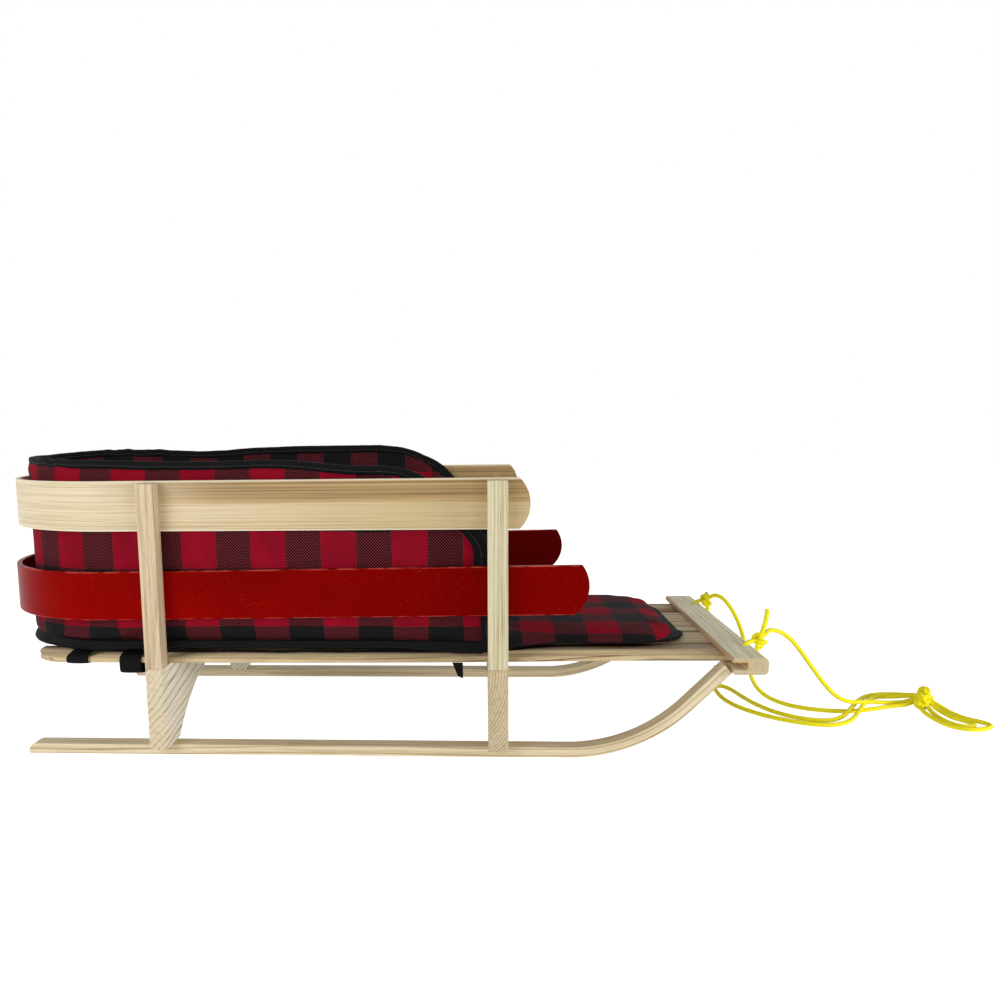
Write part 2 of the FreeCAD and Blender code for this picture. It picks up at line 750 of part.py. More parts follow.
def cord(label, points, knots):
    """A length of rope whose ends stop at the faces of the knots."""
    path, radii = cord_path(points)
    radius = size("rope_radius")
    first = path.Edges[0]
    ring = Part.Circle(first.firstVertex().Point, first.tangentAt(first.FirstParameter), radius)
    tube = path.makePipeShell([Part.Wire(ring.toShape())], True, False)
    expected = math.pi * radius * radius * path.Length
    if abs(tube.Volume / expected - 1) > 0.01:
        raise RuntimeError("%s has the wrong volume" % label)
    raw = doc.addObject("Part::Feature", label + "_tube")
    raw.Shape = tube
    without(raw, knots, label)
    print("%-24s length %6.1f  radii %s" % (label, path.Length, " ".join("%.0f" % r for r in radii)))


def knot(label, place_at, radius):
    """The outer shape of a knot, as a ball."""
    ball = doc.addObject("Part::Sphere", label)
    ball.setExpression("Radius", formula(radius))
    ball.Placement.Base = FreeCAD.Vector(*place_at)
    return keep(ball, label)


RIGHT_KNOT = (457.0, -107.0, 122.5)
LEFT_KNOT = (454.0, 111.0, 122.5)
BUNDLE_KNOT = (714.0, 30.0, 12.3)
HOLE_X, HOLE_Y = size("rope_hole_x"), size("rope_hole_y")
right_knot = knot("rope_knot_right", RIGHT_KNOT, "[knot_radius]")
left_knot = knot("rope_knot_left", LEFT_KNOT, "[knot_radius]")
bundle_knot = knot("rope_bundle_knot", BUNDLE_KNOT, "[bundle_knot_radius]")

# Each end of the rope goes down its hole, under the bar and up its front to its own knot.
# A loop that comes back to the knot it left ends beside its own start, inside the knot.
cord("rope_eye_right", [
    RIGHT_KNOT, (HOLE_X, -HOLE_Y, 124), (HOLE_X, -HOLE_Y, 91), (456, -113, 91), (459, -109, 109),
    (458, -107, 120),
], [right_knot])
cord("rope_eye_left", [
    LEFT_KNOT, (HOLE_X, HOLE_Y, 124), (HOLE_X, HOLE_Y, 91), (456, 114, 91), (458, 112, 109), (455, 111, 120),
], [left_knot])
cord("rope_tail_right", [RIGHT_KNOT, (462, -104, 134), (468, -103, 144), (470, -100, 155)], [right_knot])
cord("rope_tail_left", [LEFT_KNOT, (459, 120, 131), (461, 129, 136), (462, 138, 138)], [left_knot])
cord("rope_lead_right", [
    RIGHT_KNOT, (468, -99, 131.5), (483, -89, 129.5), (504, -76, 116.5), (523, -64, 95.5), (543, -52, 70),
    (563, -40, 46), (583, -28, 27), (604, -15, 17), (625, -1, 13.4), (647, 12, 8.6), (672, 25, 3.6),
    (698, 31, 3.2), BUNDLE_KNOT,
], [right_knot, bundle_knot])
cord("rope_lead_left", [
    LEFT_KNOT, (461, 106, 133), (473, 95, 130), (483, 84, 115), (491, 74, 95), (496, 66, 72), (499, 60, 46),
    (504, 53, 22), (515, 41, 8), (533, 22, 2.6), (556, 2, 2.4), (584, -7, 2.4), (612, -8, 2.4),
    (639, 1, 2.4), (669, 14, 2.4), (698, 21, 3.2), BUNDLE_KNOT,
], [left_knot, bundle_knot])
cord("rope_rear_bight", [
    BUNDLE_KNOT, (704, 55, 5.5), (681, 67, 2.6), (657, 59, 2.4), (631, 27, 5.4), (609, -9, 7.8),
    (587, -37, 4.4), (565, -46, 2.4), (539, -38, 2.4), (515, -18, 2.4), (497, 20, 2.4), (489, 58, 2.4),
    (484, 88, 2.4), (475, 103, 2.4), (465, 95, 2.4), (462, 74, 2.4), (462, 42, 2.4), (471, 8, 2.4),
    (494, -26, 2.4), (522, -48, 2.4), (548, -60, 2.4), (573, -60, 2.4), (596, -46, 4.4), (618, -14, 8.2),
    (642, 24, 7.2), (668, 55, 2.6), (693, 46, 5), (713, 31, 13),
], [bundle_knot])
cord("rope_front_loop_outer", [
    BUNDLE_KNOT, (728, 12, 4), (730, -10, 2.4), (735, -32, 2.4), (750, -46, 2.4), (754, -60, 2.4),
    (740, -71, 2.4), (720, -74, 2.4), (704, -62, 2.4), (698, -38, 2.4), (698, -10, 2.4), (702, 10, 4),
    (713, 29, 12),
], [bundle_knot])
cord("rope_front_loop_inner", [
    BUNDLE_KNOT, (720, 9, 4), (720, -12, 2.4), (724, -34, 2.4), (737, -48, 2.4), (734, -60, 2.4),
    (720, -64, 2.4), (710, -54, 2.4), (706, -34, 2.4), (708, -12, 2.4), (711, 8, 4), (713, 29, 13),
], [bundle_knot])


# ---------------------------------------------------------------- checks and export
doc.recompute()
for obj in doc.Objects:
    bad = [word for word in obj.State if word in ("Invalid", "Error")]
    if bad:
        raise RuntimeError("%s is %s" % (obj.Label, bad))
os.makedirs("parts", exist_ok=True)
for obj in nodes:
    shape = obj.Shape
    if shape.isNull() or not shape.isValid() or not shape.Solids:
        raise RuntimeError("%s has no valid solid" % obj.Label)
    box = shape.BoundBox
    print("%-22s %2d solids %9.0f mm3  x %7.1f %7.1f  y %7.1f %7.1f  z %6.1f %6.1f" % (
        obj.Label, len(shape.Solids), shape.Volume, box.XMin, box.XMax, box.YMin, box.YMax,
        box.ZMin, box.ZMax))
    shape.exportStep("parts/%s.step" % obj.Label)
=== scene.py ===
import math

import bpy
import numpy as np
from bpy.props import FloatProperty, FloatVectorProperty, IntProperty, PointerProperty
from mathutils import Matrix, Vector, noise


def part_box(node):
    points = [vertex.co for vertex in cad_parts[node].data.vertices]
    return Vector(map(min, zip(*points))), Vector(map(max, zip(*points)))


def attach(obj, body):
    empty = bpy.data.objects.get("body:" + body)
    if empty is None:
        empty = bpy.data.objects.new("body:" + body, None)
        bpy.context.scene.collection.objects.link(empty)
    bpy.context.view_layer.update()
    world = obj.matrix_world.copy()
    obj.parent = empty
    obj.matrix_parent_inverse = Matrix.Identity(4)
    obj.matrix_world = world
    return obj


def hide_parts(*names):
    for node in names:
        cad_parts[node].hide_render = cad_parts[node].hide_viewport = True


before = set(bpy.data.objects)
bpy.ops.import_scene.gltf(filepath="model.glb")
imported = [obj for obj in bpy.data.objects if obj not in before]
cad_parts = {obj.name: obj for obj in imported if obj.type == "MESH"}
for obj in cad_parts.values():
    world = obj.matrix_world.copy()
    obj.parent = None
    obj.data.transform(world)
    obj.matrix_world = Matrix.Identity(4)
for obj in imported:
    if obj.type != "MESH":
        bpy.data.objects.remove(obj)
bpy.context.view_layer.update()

bl_info = {
    "name": "Wooden pull sled",
    "version": (1, 0, 0),
    "blender": (4, 5, 0),
    "location": "3D View > Sidebar > Pull Sled",
    "description": "Dresses the bare wooden sled with its pad, straps, tow rope and finishes",
    "category": "Add Mesh",
}

BODY = "root"


def box(node):
    """The lowest and highest corners of a CAD node."""
    low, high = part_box(node)
    return Vector(low), Vector(high)


# ---------------------------------------------------------------- settings
def length(name, default, description):
    """A length in metres that a user may change."""
    return FloatProperty(name=name, description=description, default=default, unit="LENGTH", precision=5)


def angle(name, degrees, description):
    """An angle that a user may change, given in degrees."""
    return FloatProperty(name=name, description=description, default=math.radians(degrees),
                         subtype="ANGLE")


def power(name, watts, description):
    """A lamp's power that a user may change."""
    return FloatProperty(name=name, description=description, default=watts, unit="POWER")


def colour(name, red, green, blue, description):
    """A colour given as it looks on screen, from 0 to 255, and kept as linear light."""
    return FloatVectorProperty(name=name, description=description, default=linear(red, green, blue),
                               subtype="COLOR", size=3, min=0, max=1)


def linear(*screen):
    """Screen values from 0 to 255 as linear light."""
    shares = [value / 255 for value in screen]
    return tuple(s / 12.92 if s <= 0.04045 else ((s + 0.055) / 1.055) ** 2.4 for s in shares)


def shade(tone, times, plus=0.0):
    """A colour made darker or lighter."""
    return [min(1, part * times + plus) for part in tone]


class SledStageSettings(bpy.types.PropertyGroup):
    camera_place: FloatVectorProperty(name="Camera place", description="Where the camera stands",
                                      default=(0.1414, -1.1031, 0.3675), size=3, subtype="TRANSLATION")
    camera_turn: angle("Camera turn", -3.404, "Turn about the upright, from straight across")
    camera_dip: angle("Camera dip", 7.673, "How far the camera looks down")
    camera_roll: angle("Camera roll", -0.751, "Roll about the line of sight")
    lens: FloatProperty(name="Lens", description="Focal length for a 36 mm sensor, in millimetres",
                        default=31.23, min=10)
    key_power: power("Key light", 11.5, "Power of the large lamp at the front left")
    fill_power: power("Fill light", 2.5, "Power of the low lamp at the front right")
    side_power: power("Side light", 15, "Power of the low lamp ahead of the sled")
    top_power: power("Top light", 2.8, "Power of the lamp overhead")
    surround: FloatProperty(name="Surround", default=0.42, min=0,
                            description="Strength of the light from all round, stronger from the sides")


class SledPlaidSettings(bpy.types.PropertyGroup):
    square: length("Square", 0.0393, "Side of one square of the check")
    twill: length("Twill", 0.0033, "Spacing of the diagonal ribs where the two colours mix")
    crimson: colour("Crimson", 144, 7, 33, "The lighter yarn")
    black: colour("Black", 20, 20, 21, "The darker yarn")
    tape: colour("Tape", 13, 13, 14, "Binding tape and straps")
    thread: colour("Thread", 92, 96, 94, "Stitching on the tape")


class SledPadSettings(bpy.types.PropertyGroup):
    wall_thick: length("Wall thickness", 0.016, "The upright pad's thickness")
    wall_bend: length("Wall bend", 0.158, "Radius of the wall's rear corners, outside")
    wall_front: length("Wall front", 0.153, "Where the wall's upright front edges stand, along the sled")
    wall_toe: length("Wall toe", 0.050, "Radius between the upright front edge and the slope")
    wall_slope: angle("Wall slope", 48, "Slope of the wall's front corners")
    wall_round: length("Wall round", 0.105, "Radius between the slope and the level top")
    wall_round_x: length("Wall round centre", 0.017, "Where that radius is centred, along the sled")
    tape_thick: length("Tape thickness", 0.009, "The bound edge's thickness")
    seat_bend: length("Seat bend", 0.148, "Radius of the seat's rear corners")
    flange: length("Flange", 0.013, "Width of the flat bound seam round the seat's front")
    pressure: FloatProperty(name="Pressure", description="Air pressure that fills the pad", default=4, min=0)
    frames: IntProperty(name="Frames", description="Frames that the pad has to fill", default=20, min=1)


class SledRopeSettings(bpy.types.PropertyGroup):
    diameter: length("Rope diameter", 0.0054, "The tow rope's thickness")
    step: length("Ring spacing", 0.0009, "Distance between the rings of the rope's mesh")
    sides: IntProperty(name="Sides", description="Points round the rope", default=20, min=6)
    lay: length("Braid pitch", 0.012, "Length of rope in which a strand goes once round")
    yellow: colour("Yellow", 255, 246, 28, "The rope's colour")
    # Painted shade: the darker yellow that goes between the strands.
    shade: colour("Rope shade", 234, 214, 8, "Its colour between the strands")


class SledWoodSettings(bpy.types.PropertyGroup):
    cream: colour("Cream", 232, 217, 185, "Palest wood")
    straw: colour("Straw", 204, 181, 137, "Middle tone")
    tan: colour("Tan", 168, 138, 92, "Darker bands")
    brown: colour("Brown", 112, 84, 52, "Growth lines")
    red: colour("Red paint", 152, 4, 1, "The lower rail's paint")


def settings(name):
    """The settings of one group."""
    return getattr(bpy.context.scene, "sled_" + name)


# ---------------------------------------------------------------- materials
RUNNER_BEND_START = 0.236
RUNNER_BEND_RADIUS = 0.190
LOWER_RAIL_RISE = 0.0080


def operation(name, swapped=False):
    """A way to work on a Value that adds one node."""
    def work(first, second=0.0):
        pair = (second, first) if swapped else (first, second)
        return first.recipe.value("Math", dict(enumerate(pair)), operation=name)
    return work


class Value:
    """Something that a recipe's nodes work out.  Plain arithmetic on it adds more nodes."""

    def __init__(self, recipe, socket):
        self.recipe, self.socket = recipe, socket

    __add__ = __radd__ = operation("ADD")
    __mul__ = __rmul__ = operation("MULTIPLY")
    __sub__ = operation("SUBTRACT")
    __rsub__ = operation("SUBTRACT", swapped=True)
    __truediv__ = operation("DIVIDE")
    __pow__ = operation("POWER")
    __gt__ = operation("GREATER_THAN")
    __lt__ = operation("LESS_THAN")
    __abs__ = operation("ABSOLUTE")
    at_least = operation("MAXIMUM")
    at_most = operation("MINIMUM")
    folded = operation("PINGPONG")
    fraction = operation("FRACT")
    floor = operation("FLOOR")
    root = operation("SQRT")

    def smooth(self, low, high):
        """0 below low, 1 above high and smooth between."""
        return self.recipe.value("MapRange", {0: self, 1: low, 2: high}, interpolation_type="SMOOTHSTEP")


class Recipe:
    """Builds the nodes of a material, or of the world.  Inputs may be numbers, colours or Values."""

    def __init__(self, name, owners=None, shader="Principled BSDF"):
        self.owner = (bpy.data.materials if owners is None else owners).new(name)
        self.owner.use_nodes = True
        self.tree = self.owner.node_tree
        self.shader = self.tree.nodes[shader]
        self.tint = None

    def put(self, socket, value):
        """Set a socket, or link it if the value comes from a node."""
        if isinstance(value, Value):
            self.tree.links.new(value.socket, socket)
        elif socket.type == "RGBA":
            socket.default_value = (*value, 1)
        else:
            socket.default_value = value

    def node(self, kind, inputs=(), **attributes):
        """Add a node, with its settings and its inputs by place or name."""
        made = self.tree.nodes.new("ShaderNode" + kind)
        for key, value in attributes.items():
            setattr(made, key, value)
        for key, value in dict(inputs).items():
            self.put(made.inputs[key], value)
        return made

    def value(self, kind, inputs=(), output=0, **attributes):
        """Add a node and take one of its outputs."""
        return Value(self, self.node(kind, inputs, **attributes).outputs[output])

    def parts(self, whole, kind="XYZ"):
        """The three parts of a vector or colour."""
        return [Value(self, part) for part in self.node("Separate" + kind, {0: whole}).outputs]

    def place(self):
        """The x, y and z of the object's own coordinates, in metres."""
        return self.parts(self.value("TexCoord", output="Object"))

    def cloth_place(self):
        """The piece's own cloth or rope coordinates, in metres."""
        return self.parts(self.value("UVMap"))[:2]

    def vector(self, parts, stretch=None):
        """A vector from three values, each multiplied by its own number where stretch is given."""
        if stretch:
            parts = [part * times for part, times in zip(parts, stretch)]
        return self.value("CombineXYZ", dict(enumerate(parts)))

    def noise(self, parts, stretch=None, scale=1.0, detail=2.0, rough=0.5):
        """Soft noise from 0 to 1."""
        return self.value("TexNoise", {"Vector": self.vector(parts, stretch), "Scale": scale,
                                       "Detail": detail, "Roughness": rough})

    def mix(self, share, first, second):
        """A colour between two colours."""
        return self.value("Mix", {0: share, 6: first, 7: second}, output=2, data_type="RGBA")

    def coat(self, share, tone):
        """Lay a colour over the tint so far."""
        self.tint = self.mix(share, self.tint, tone)

    def seen(self):
        """1 where a ray comes straight from the camera, or by way of a gloss or a pane."""
        rays = self.node("LightPath").outputs
        camera, gloss, pane = [Value(self, rays["Is %s Ray" % kind])
                               for kind in ("Camera", "Glossy", "Transmission")]
        return camera.at_least(gloss).at_least(pane)

    def bump(self, height, strength, distance):
        """Relief on the shader."""
        relief = self.value("Bump", {"Height": height, "Strength": strength, "Distance": distance})
        self.put(self.shader.inputs["Normal"], relief)

    def finish(self, **inputs):
        """Set the shader's inputs by name and hand the material back."""
        if self.tint:
            inputs["Base_Color"] = self.tint
        for key, value in inputs.items():
            self.put(self.shader.inputs[key.replace("_", " ")], value)
        return self.owner


def grain(recipe, parts, pale, dark, pitch=0.003, line=0.9, centre=(0.3, 0.3), slope=0.0, broad=0.25,
          fuzz=0.30):
    """Tint a recipe like sawn wood: growth lines round a distant heart, fibres along the grain and
    slow changes of tone.  parts run across, across and along the grain.  Gives the relief."""
    def streaks(across, along, detail=1, rough=0.5):
        return recipe.noise(parts, (across, across, along), detail=detail, rough=rough)

    side_a, side_b = parts[0] - centre[0], parts[1] - centre[1]
    wander = (streaks(14, 2.2) - 0.5) * (2.6 * pitch)
    rings = ((side_a * side_a + side_b * side_b).root() + wander + parts[2] * slope) / pitch
    inside = rings.fraction()
    each = recipe.value("TexWhiteNoise", {"W": rings.floor()}, noise_dimensions="1D")
    late = inside ** 5.0 * inside.smooth(1.0, 0.93) * (each * 0.75 + 0.35)
    fibre = streaks(700, 16, 3, 0.7)
    share = (late * line + streaks(260, 4, 3, 0.6).smooth(0.46, 0.72) * 0.34
             + fibre.smooth(0.45, 0.70) * fuzz + streaks(26, 2.6).smooth(0.3, 0.8) * broad)
    recipe.tint = recipe.mix(share.smooth(-0.1, 1.1), pale, dark)
    recipe.coat(streaks(1500, 60).smooth(0.68, 0.76) * 0.35, dark)
    return fibre - late * 0.8


def finished_wood(recipe, relief, rough=0.55):
    """Bare wood's relief and sheen."""
    recipe.bump(relief, 0.35, 0.0004)
    return recipe.finish(Roughness=rough, Specular_IOR_Level=0.2)


def sawn_wood(name, order, pale, dark, ends=None, **shape):
    """A straight piece of wood.  order names the axes across, across and along the grain; ends gives
    how far out its two ends are and their colour."""
    recipe = Recipe(name)
    parts = recipe.place()
    relief = grain(recipe, [parts["xyz".index(letter)] for letter in order], pale, dark, **shape)
    if ends:
        reach, tone = ends
        recipe.coat(abs(parts[1]).smooth(reach - 0.0010, reach - 0.0004) * 0.5, tone)
    return finished_wood(recipe, relief)


def runner_wood():
    """Wood whose grain follows the runner round its bend."""
    recipe = Recipe("bent_runner_wood")
    x, y, z = recipe.place()
    ahead, above = x - RUNNER_BEND_START, z - RUNNER_BEND_RADIUS
    past = ahead.at_least(0.0)
    in_bend = RUNNER_BEND_RADIUS - (past * past + above * above).root()
    on_ramp = RUNNER_BEND_RADIUS - (ahead - above) * math.sqrt(0.5)
    depth = (ahead + above > 0.0) * (on_ramp - in_bend) + in_bend
    relief = grain(recipe, (y, depth, past * 0.3 + x), linear(238, 224, 190), settings("wood").tan,
                   pitch=0.0042, line=1.15, centre=(-0.02, 0.11), broad=0.35)
    return finished_wood(recipe, relief, 0.5)


def rail_wood():
    """A bent rail in clear finish: streaks run level round the bend, browner along its top. Painted shade
    darkens it towards the front, and painted highlights run along its top and bottom edges.
    """
    wood = settings("wood")
    recipe = Recipe("bent_rail_wood")
    x, y, z = recipe.place()
    low, high = box("upper_rail")

    def streaks(across, upright, detail, rough=0.5):
        return recipe.noise((x, y, z), (across, across, upright), detail=detail, rough=rough)

    height = (z - low.z) / (high.z - low.z)
    wavy = (streaks(3, 8, 1) - 0.5) * 0.10 + height
    band = wavy.smooth(0.535, 0.56) * x.smooth(-0.30, -0.12)
    streak, fine = streaks(2.4, 760, 3, 0.7), streaks(8, 1050, 2, 0.6)
    wide, thin = streaks(1.8, 120, 3, 0.6), streaks(2.0, 560, 3)
    # Painted shade: the pale tone goes from cream at the rear end to straw towards the front, as the light
    # falls from the rear left.
    pale = recipe.mix(x.smooth(-0.38, 0.10) * 0.95, wood.cream, wood.straw)
    pale = recipe.mix(streak.smooth(0.45, 0.62) * 0.55, pale, wood.straw)
    brown = recipe.mix(wide.smooth(0.38, 0.62), linear(190, 160, 108), wood.tan)
    brown = recipe.mix(thin.smooth(0.50, 0.59) * 0.80, brown, wood.brown)
    recipe.tint = recipe.mix(band * 0.92, pale, brown)
    recipe.coat(thin.smooth(0.58, 0.66) * 0.32, wood.tan)
    recipe.coat(fine.smooth(0.52, 0.64) * 0.36, wood.tan)
    # Painted highlight: pale lines along the rail's rounded top and bottom edges.
    pale_edges = height.smooth(0.035, 0.015).at_least(height.smooth(0.960, 0.985))
    recipe.coat(pale_edges * 0.7, linear(246, 236, 210))
    recipe.bump(fine + streak, 0.2, 0.0003)
    return recipe.finish(Roughness=0.42, Specular_IOR_Level=0.25)


def red_paint():
    """Gloss red over wood: grain shows faintly, dust stands in it and the bottom edge is worn paler. The pale
    line along the top edge is a painted highlight, and painted shade darkens it towards the front and on its
    inner faces.
    """
    red = settings("wood").red
    recipe = Recipe("gloss_red")
    x, y, z = place = recipe.place()
    low, high = box("lower_rail")
    level = z - (x - low.x) * (LOWER_RAIL_RISE / (high.x - low.x))
    from_edge = (level - low.z).at_most(high.z - LOWER_RAIL_RISE - level)
    broken = recipe.noise(place, (60, 60, 200), detail=3)
    # Pale edge lines: worn paler along the bottom edge; along the top edge the same pale line is a painted
    # highlight.
    pale_edges = from_edge.smooth(0.0016, 0.0004) * broken.smooth(0.40, 0.58)
    deep = shade(red, 0.62)
    recipe.tint = recipe.mix(recipe.noise(place, (5, 5, 9)).smooth(0.3, 0.75), red, deep)
    # Painted shade: darker towards the front, away from the light at the rear left.
    recipe.coat(x.smooth(-0.36, 0.12) * 0.70, shade(red, 0.45))
    # Painted shade: the inner faces ahead of the rear bolster are darker.
    inside = abs(y).smooth(high.y - 0.0030, high.y - 0.0045) * (x > box("rear_bolster")[0].x)
    recipe.coat(inside, shade(red, 0.30))
    streak = recipe.noise(place, (8, 8, 600))
    recipe.coat(streak.smooth(0.55, 0.8) * 0.35, deep)
    patches = recipe.noise(place, (13, 13, 30))

    def specks(stretch, scale, width, seldom, where):
        """Dots in some of a field of cells, only where a slow noise is high."""
        cells = recipe.node("TexVoronoi", {"Vector": recipe.vector(place, stretch), "Scale": scale})
        distance, tone = [Value(recipe, cells.outputs[name]) for name in ("Distance", "Color")]
        rarity, size, strength = recipe.parts(tone, "Color")
        found = (distance < size * width + 0.03) * (rarity > seldom) * patches.smooth(where, where + 0.16)
        return found * (strength * 0.75 + 0.05)

    dot = specks((1, 1, 1), 430.0, 0.16, 0.68, 0.30)
    dot = dot.at_least(specks((0.34, 0.34, 1), 560.0, 0.24, 0.62, 0.56) * 0.7)
    recipe.coat(dot, linear(208, 84, 70))
    recipe.coat(pale_edges * 0.7, linear(206, 84, 70))
    recipe.bump(dot * 1.4 + streak, 0.22, 0.0003)
    return recipe.finish(Roughness=0.32, Specular_IOR_Level=0.03, Specular_Tint=(1.0, 0.45, 0.40))


def plaid_cloth():
    """A two-colour check woven in twill, from the cloth's own coordinates."""
    plaid = settings("plaid")
    recipe = Recipe("buffalo_check")
    u, v = recipe.cloth_place()
    rib = 0.0009

    def stripes(value):
        phase = (value / (2 * plaid.square)).fraction()
        return phase.smooth(0.0, 0.008) * phase.smooth(0.508, 0.5)

    def wave(value, pitch):
        return (value / pitch).folded(0.5) * 2.0

    columns, rows = stripes(u), stripes(v)
    both = columns * rows
    mixed = columns.at_least(rows) - both
    twill = (wave(u + v, plaid.twill) + wave(u - v, plaid.twill)).smooth(1.29, 1.47)
    yarn, fade = recipe.noise((u, v, 0.0), scale=900), recipe.noise((u, v, 0.0), scale=26)
    crimson = recipe.mix(fade.smooth(0.3, 0.7), plaid.crimson, shade(plaid.crimson, 0.74))
    crimson = recipe.mix(yarn.smooth(0.5, 0.75) * 0.25, crimson, shade(plaid.crimson, 1.6, 0.01))
    dark = recipe.mix(yarn.smooth(0.5, 0.8) * 0.35, plaid.black, shade(plaid.black, 2.4))
    recipe.tint = recipe.mix(mixed * twill + both, recipe.mix(mixed, dark, linear(20, 6, 9)),
                             recipe.mix(mixed, crimson, linear(158, 55, 67)))
    weave = wave(u + v, rib).smooth(0.34, 0.66) * wave(u - v, rib).smooth(0.34, 0.66) + yarn * 0.6
    recipe.bump(twill * 0.4 + weave, 0.35, 0.0003)
    return recipe.finish(Roughness=0.82, Specular_IOR_Level=0.08)


def black_tape():
    """Ribbed binding tape and webbing, from the piece's own coordinates."""
    tape = settings("plaid").tape
    recipe = Recipe("ribbed_tape")
    u, v = recipe.cloth_place()
    weave = (v / 0.0016).folded(0.5) * 0.6 + (u / 0.0011).folded(0.5)
    lint = recipe.noise((u, v, 0.0), scale=700, detail=3)
    recipe.tint = recipe.mix(lint.smooth(0.45, 0.85), tape, shade(tape, 3.2))
    recipe.bump(lint * 0.5 + weave, 0.5, 0.0003)
    return recipe.finish(Roughness=0.75, Specular_IOR_Level=0.08)


def rope_fibre():
    """Braided yellow cord, from its own coordinates: u along it and v once round."""
    rope = settings("rope")
    recipe = Recipe("rope_fibre")
    u, v = recipe.cloth_place()
    round_it, along_it = v * BRAID_STRANDS, u / rope.lay * BRAID_STRANDS
    right, left = round_it + along_it, round_it - along_it
    ridge = right.folded(0.5).at_least(left.folded(0.5)) * 2.0
    floss = recipe.noise((u * 60.0, right * 9.0, 0.0), scale=3)
    # Painted shade: darker yellow in the valleys between the strands.
    recipe.tint = recipe.mix(ridge.smooth(0.30, 0.75), rope.shade, rope.yellow)
    recipe.coat(floss.smooth(0.55, 0.8) * 0.2, rope.shade)
    recipe.bump(floss * 0.3 + ridge, 0.5, 0.0004)
    return recipe.finish(Roughness=0.55, Specular_IOR_Level=0.2)


def tow_bar_wood():
    """The bar's straight-grained wood, browner on its rear edge, with painted shade inside its groove."""
    low, high = box("tow_bar")
    slat_low, slat_high = box("seat_slat_1")
    recipe = Recipe("tow_bar_wood")
    x, y, z = recipe.place()
    relief = grain(recipe, (x, z, y), linear(255, 248, 214), linear(140, 114, 78), pitch=0.0027, line=0.65,
                   centre=(0.535, 0.212), broad=0.16)
    recipe.coat(x.smooth(low.x + 0.0022, low.x + 0.0004) * 0.75, linear(168, 134, 92))
    # Painted shade: a darker orange-brown inside the groove where the slats go in.
    groove = (z.smooth(slat_low.z - 0.0015, slat_low.z - 0.0012)
              * z.smooth(slat_high.z + 0.0016, slat_high.z + 0.0012)
              * x.smooth(slat_high.x + 0.0012, slat_high.x + 0.0008))
    recipe.coat(groove * 0.85, linear(220, 164, 98))
    recipe.coat(abs(y).smooth(high.y - 0.0012, high.y - 0.0004) * 0.70, linear(180, 156, 110))
    return finished_wood(recipe, relief)


def touched_up_screws():
    """Screw heads filled and coloured to go with the rail that they hold."""
    wood = settings("wood")
    recipe = Recipe("filled_screws")
    place = recipe.place()
    haze = recipe.noise(place, scale=400)
    recipe.tint = recipe.mix(place[2].smooth(0.235, 0.236), recipe.mix(haze, wood.red, shade(wood.red, 0.6)),
                             recipe.mix(haze, wood.straw, wood.tan))
    return recipe.finish(Roughness=0.5, Specular_IOR_Level=0.2)


def sewing_thread():
    """Grey sewing thread."""
    recipe = Recipe("sewing_thread")
    twist = recipe.noise(recipe.place(), scale=1800, detail=1)
    thread = settings("plaid").thread
    recipe.tint = recipe.mix(twist, thread, shade(thread, 0.5))
    return recipe.finish(Roughness=0.6)


def screw_steel():
    """Zinc-plated steel."""
    recipe = Recipe("screw_steel")
    haze = recipe.noise(recipe.place(), scale=500)
    recipe.tint = recipe.mix(haze, linear(150, 150, 148), linear(205, 205, 200))
    return recipe.finish(Metallic=1.0, Roughness=0.38)


# ---------------------------------------------------------------- making pieces
def clear_selection():
    """Leave edit mode and select nothing."""
    if bpy.context.object and bpy.context.object.mode != "OBJECT":
        bpy.ops.object.mode_set(mode="OBJECT")
    bpy.ops.object.select_all(action="DESELECT")


def activate(piece):
    """Make one piece the only selected and active one."""
    clear_selection()
    piece.select_set(True)
    bpy.context.view_layer.objects.active = piece


def piece_from(name, verts, faces, uvs=None):
    """A mesh piece from points, faces and, where given, a cloth coordinate for each point."""
    mesh = bpy.data.meshes.new(name)
    mesh.from_pydata([tuple(v) for v in verts], [], faces)
    if uvs is not None:
        layer = mesh.uv_layers.new(name="UVMap")
        corners = np.empty(len(mesh.loops), dtype=np.int32)
        mesh.loops.foreach_get("vertex_index", corners)
        layer.data.foreach_set("uv", np.asarray(uvs, dtype=np.float32)[corners].ravel())
    mesh.polygons.foreach_set("use_smooth", [True] * len(mesh.polygons))
    mesh.update()
    piece = bpy.data.objects.new(name, mesh)
    bpy.context.scene.collection.objects.link(piece)
    return piece


def dress(piece, material, slot, *replaced):
    """Give a piece its material, body and the CAD nodes that it stands for, which it hides. slot is not used.
    """
    piece.data.materials.clear()
    piece.data.materials.append(material)
    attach(piece, BODY)
    if replaced:
        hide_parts(*replaced)
    return piece


def modify(piece, kind, **values):
    """Give a piece a modifier with its values, and apply it."""
    modifier = piece.modifiers.new(kind.title(), kind)
    for key, value in values.items():
        setattr(modifier, key, value)
    activate(piece)
    bpy.ops.object.modifier_apply(modifier=modifier.name)


def coordinates(piece):
    """A piece's points as an array."""
    flat = np.empty(len(piece.data.vertices) * 3)
    piece.data.vertices.foreach_get("co", flat)
    return flat.reshape(-1, 3)


def set_coordinates(piece, points):
    """Move a piece's points to an array of places."""
    piece.data.vertices.foreach_set("co", np.asarray(points).ravel())
    piece.data.update()


def face_outwards(piece):
    """Join points that lie on each other and turn every face of a closed piece outwards."""
    activate(piece)
    bpy.ops.object.mode_set(mode="EDIT")
    bpy.ops.mesh.select_all(action="SELECT")
    bpy.ops.mesh.remove_doubles(threshold=0.000001)
    bpy.ops.mesh.normals_make_consistent(inside=False)
    bpy.ops.object.mode_set(mode="OBJECT")


def clamp(value):
    """A number held between 0 and 1."""
    return min(1.0, max(0.0, value))


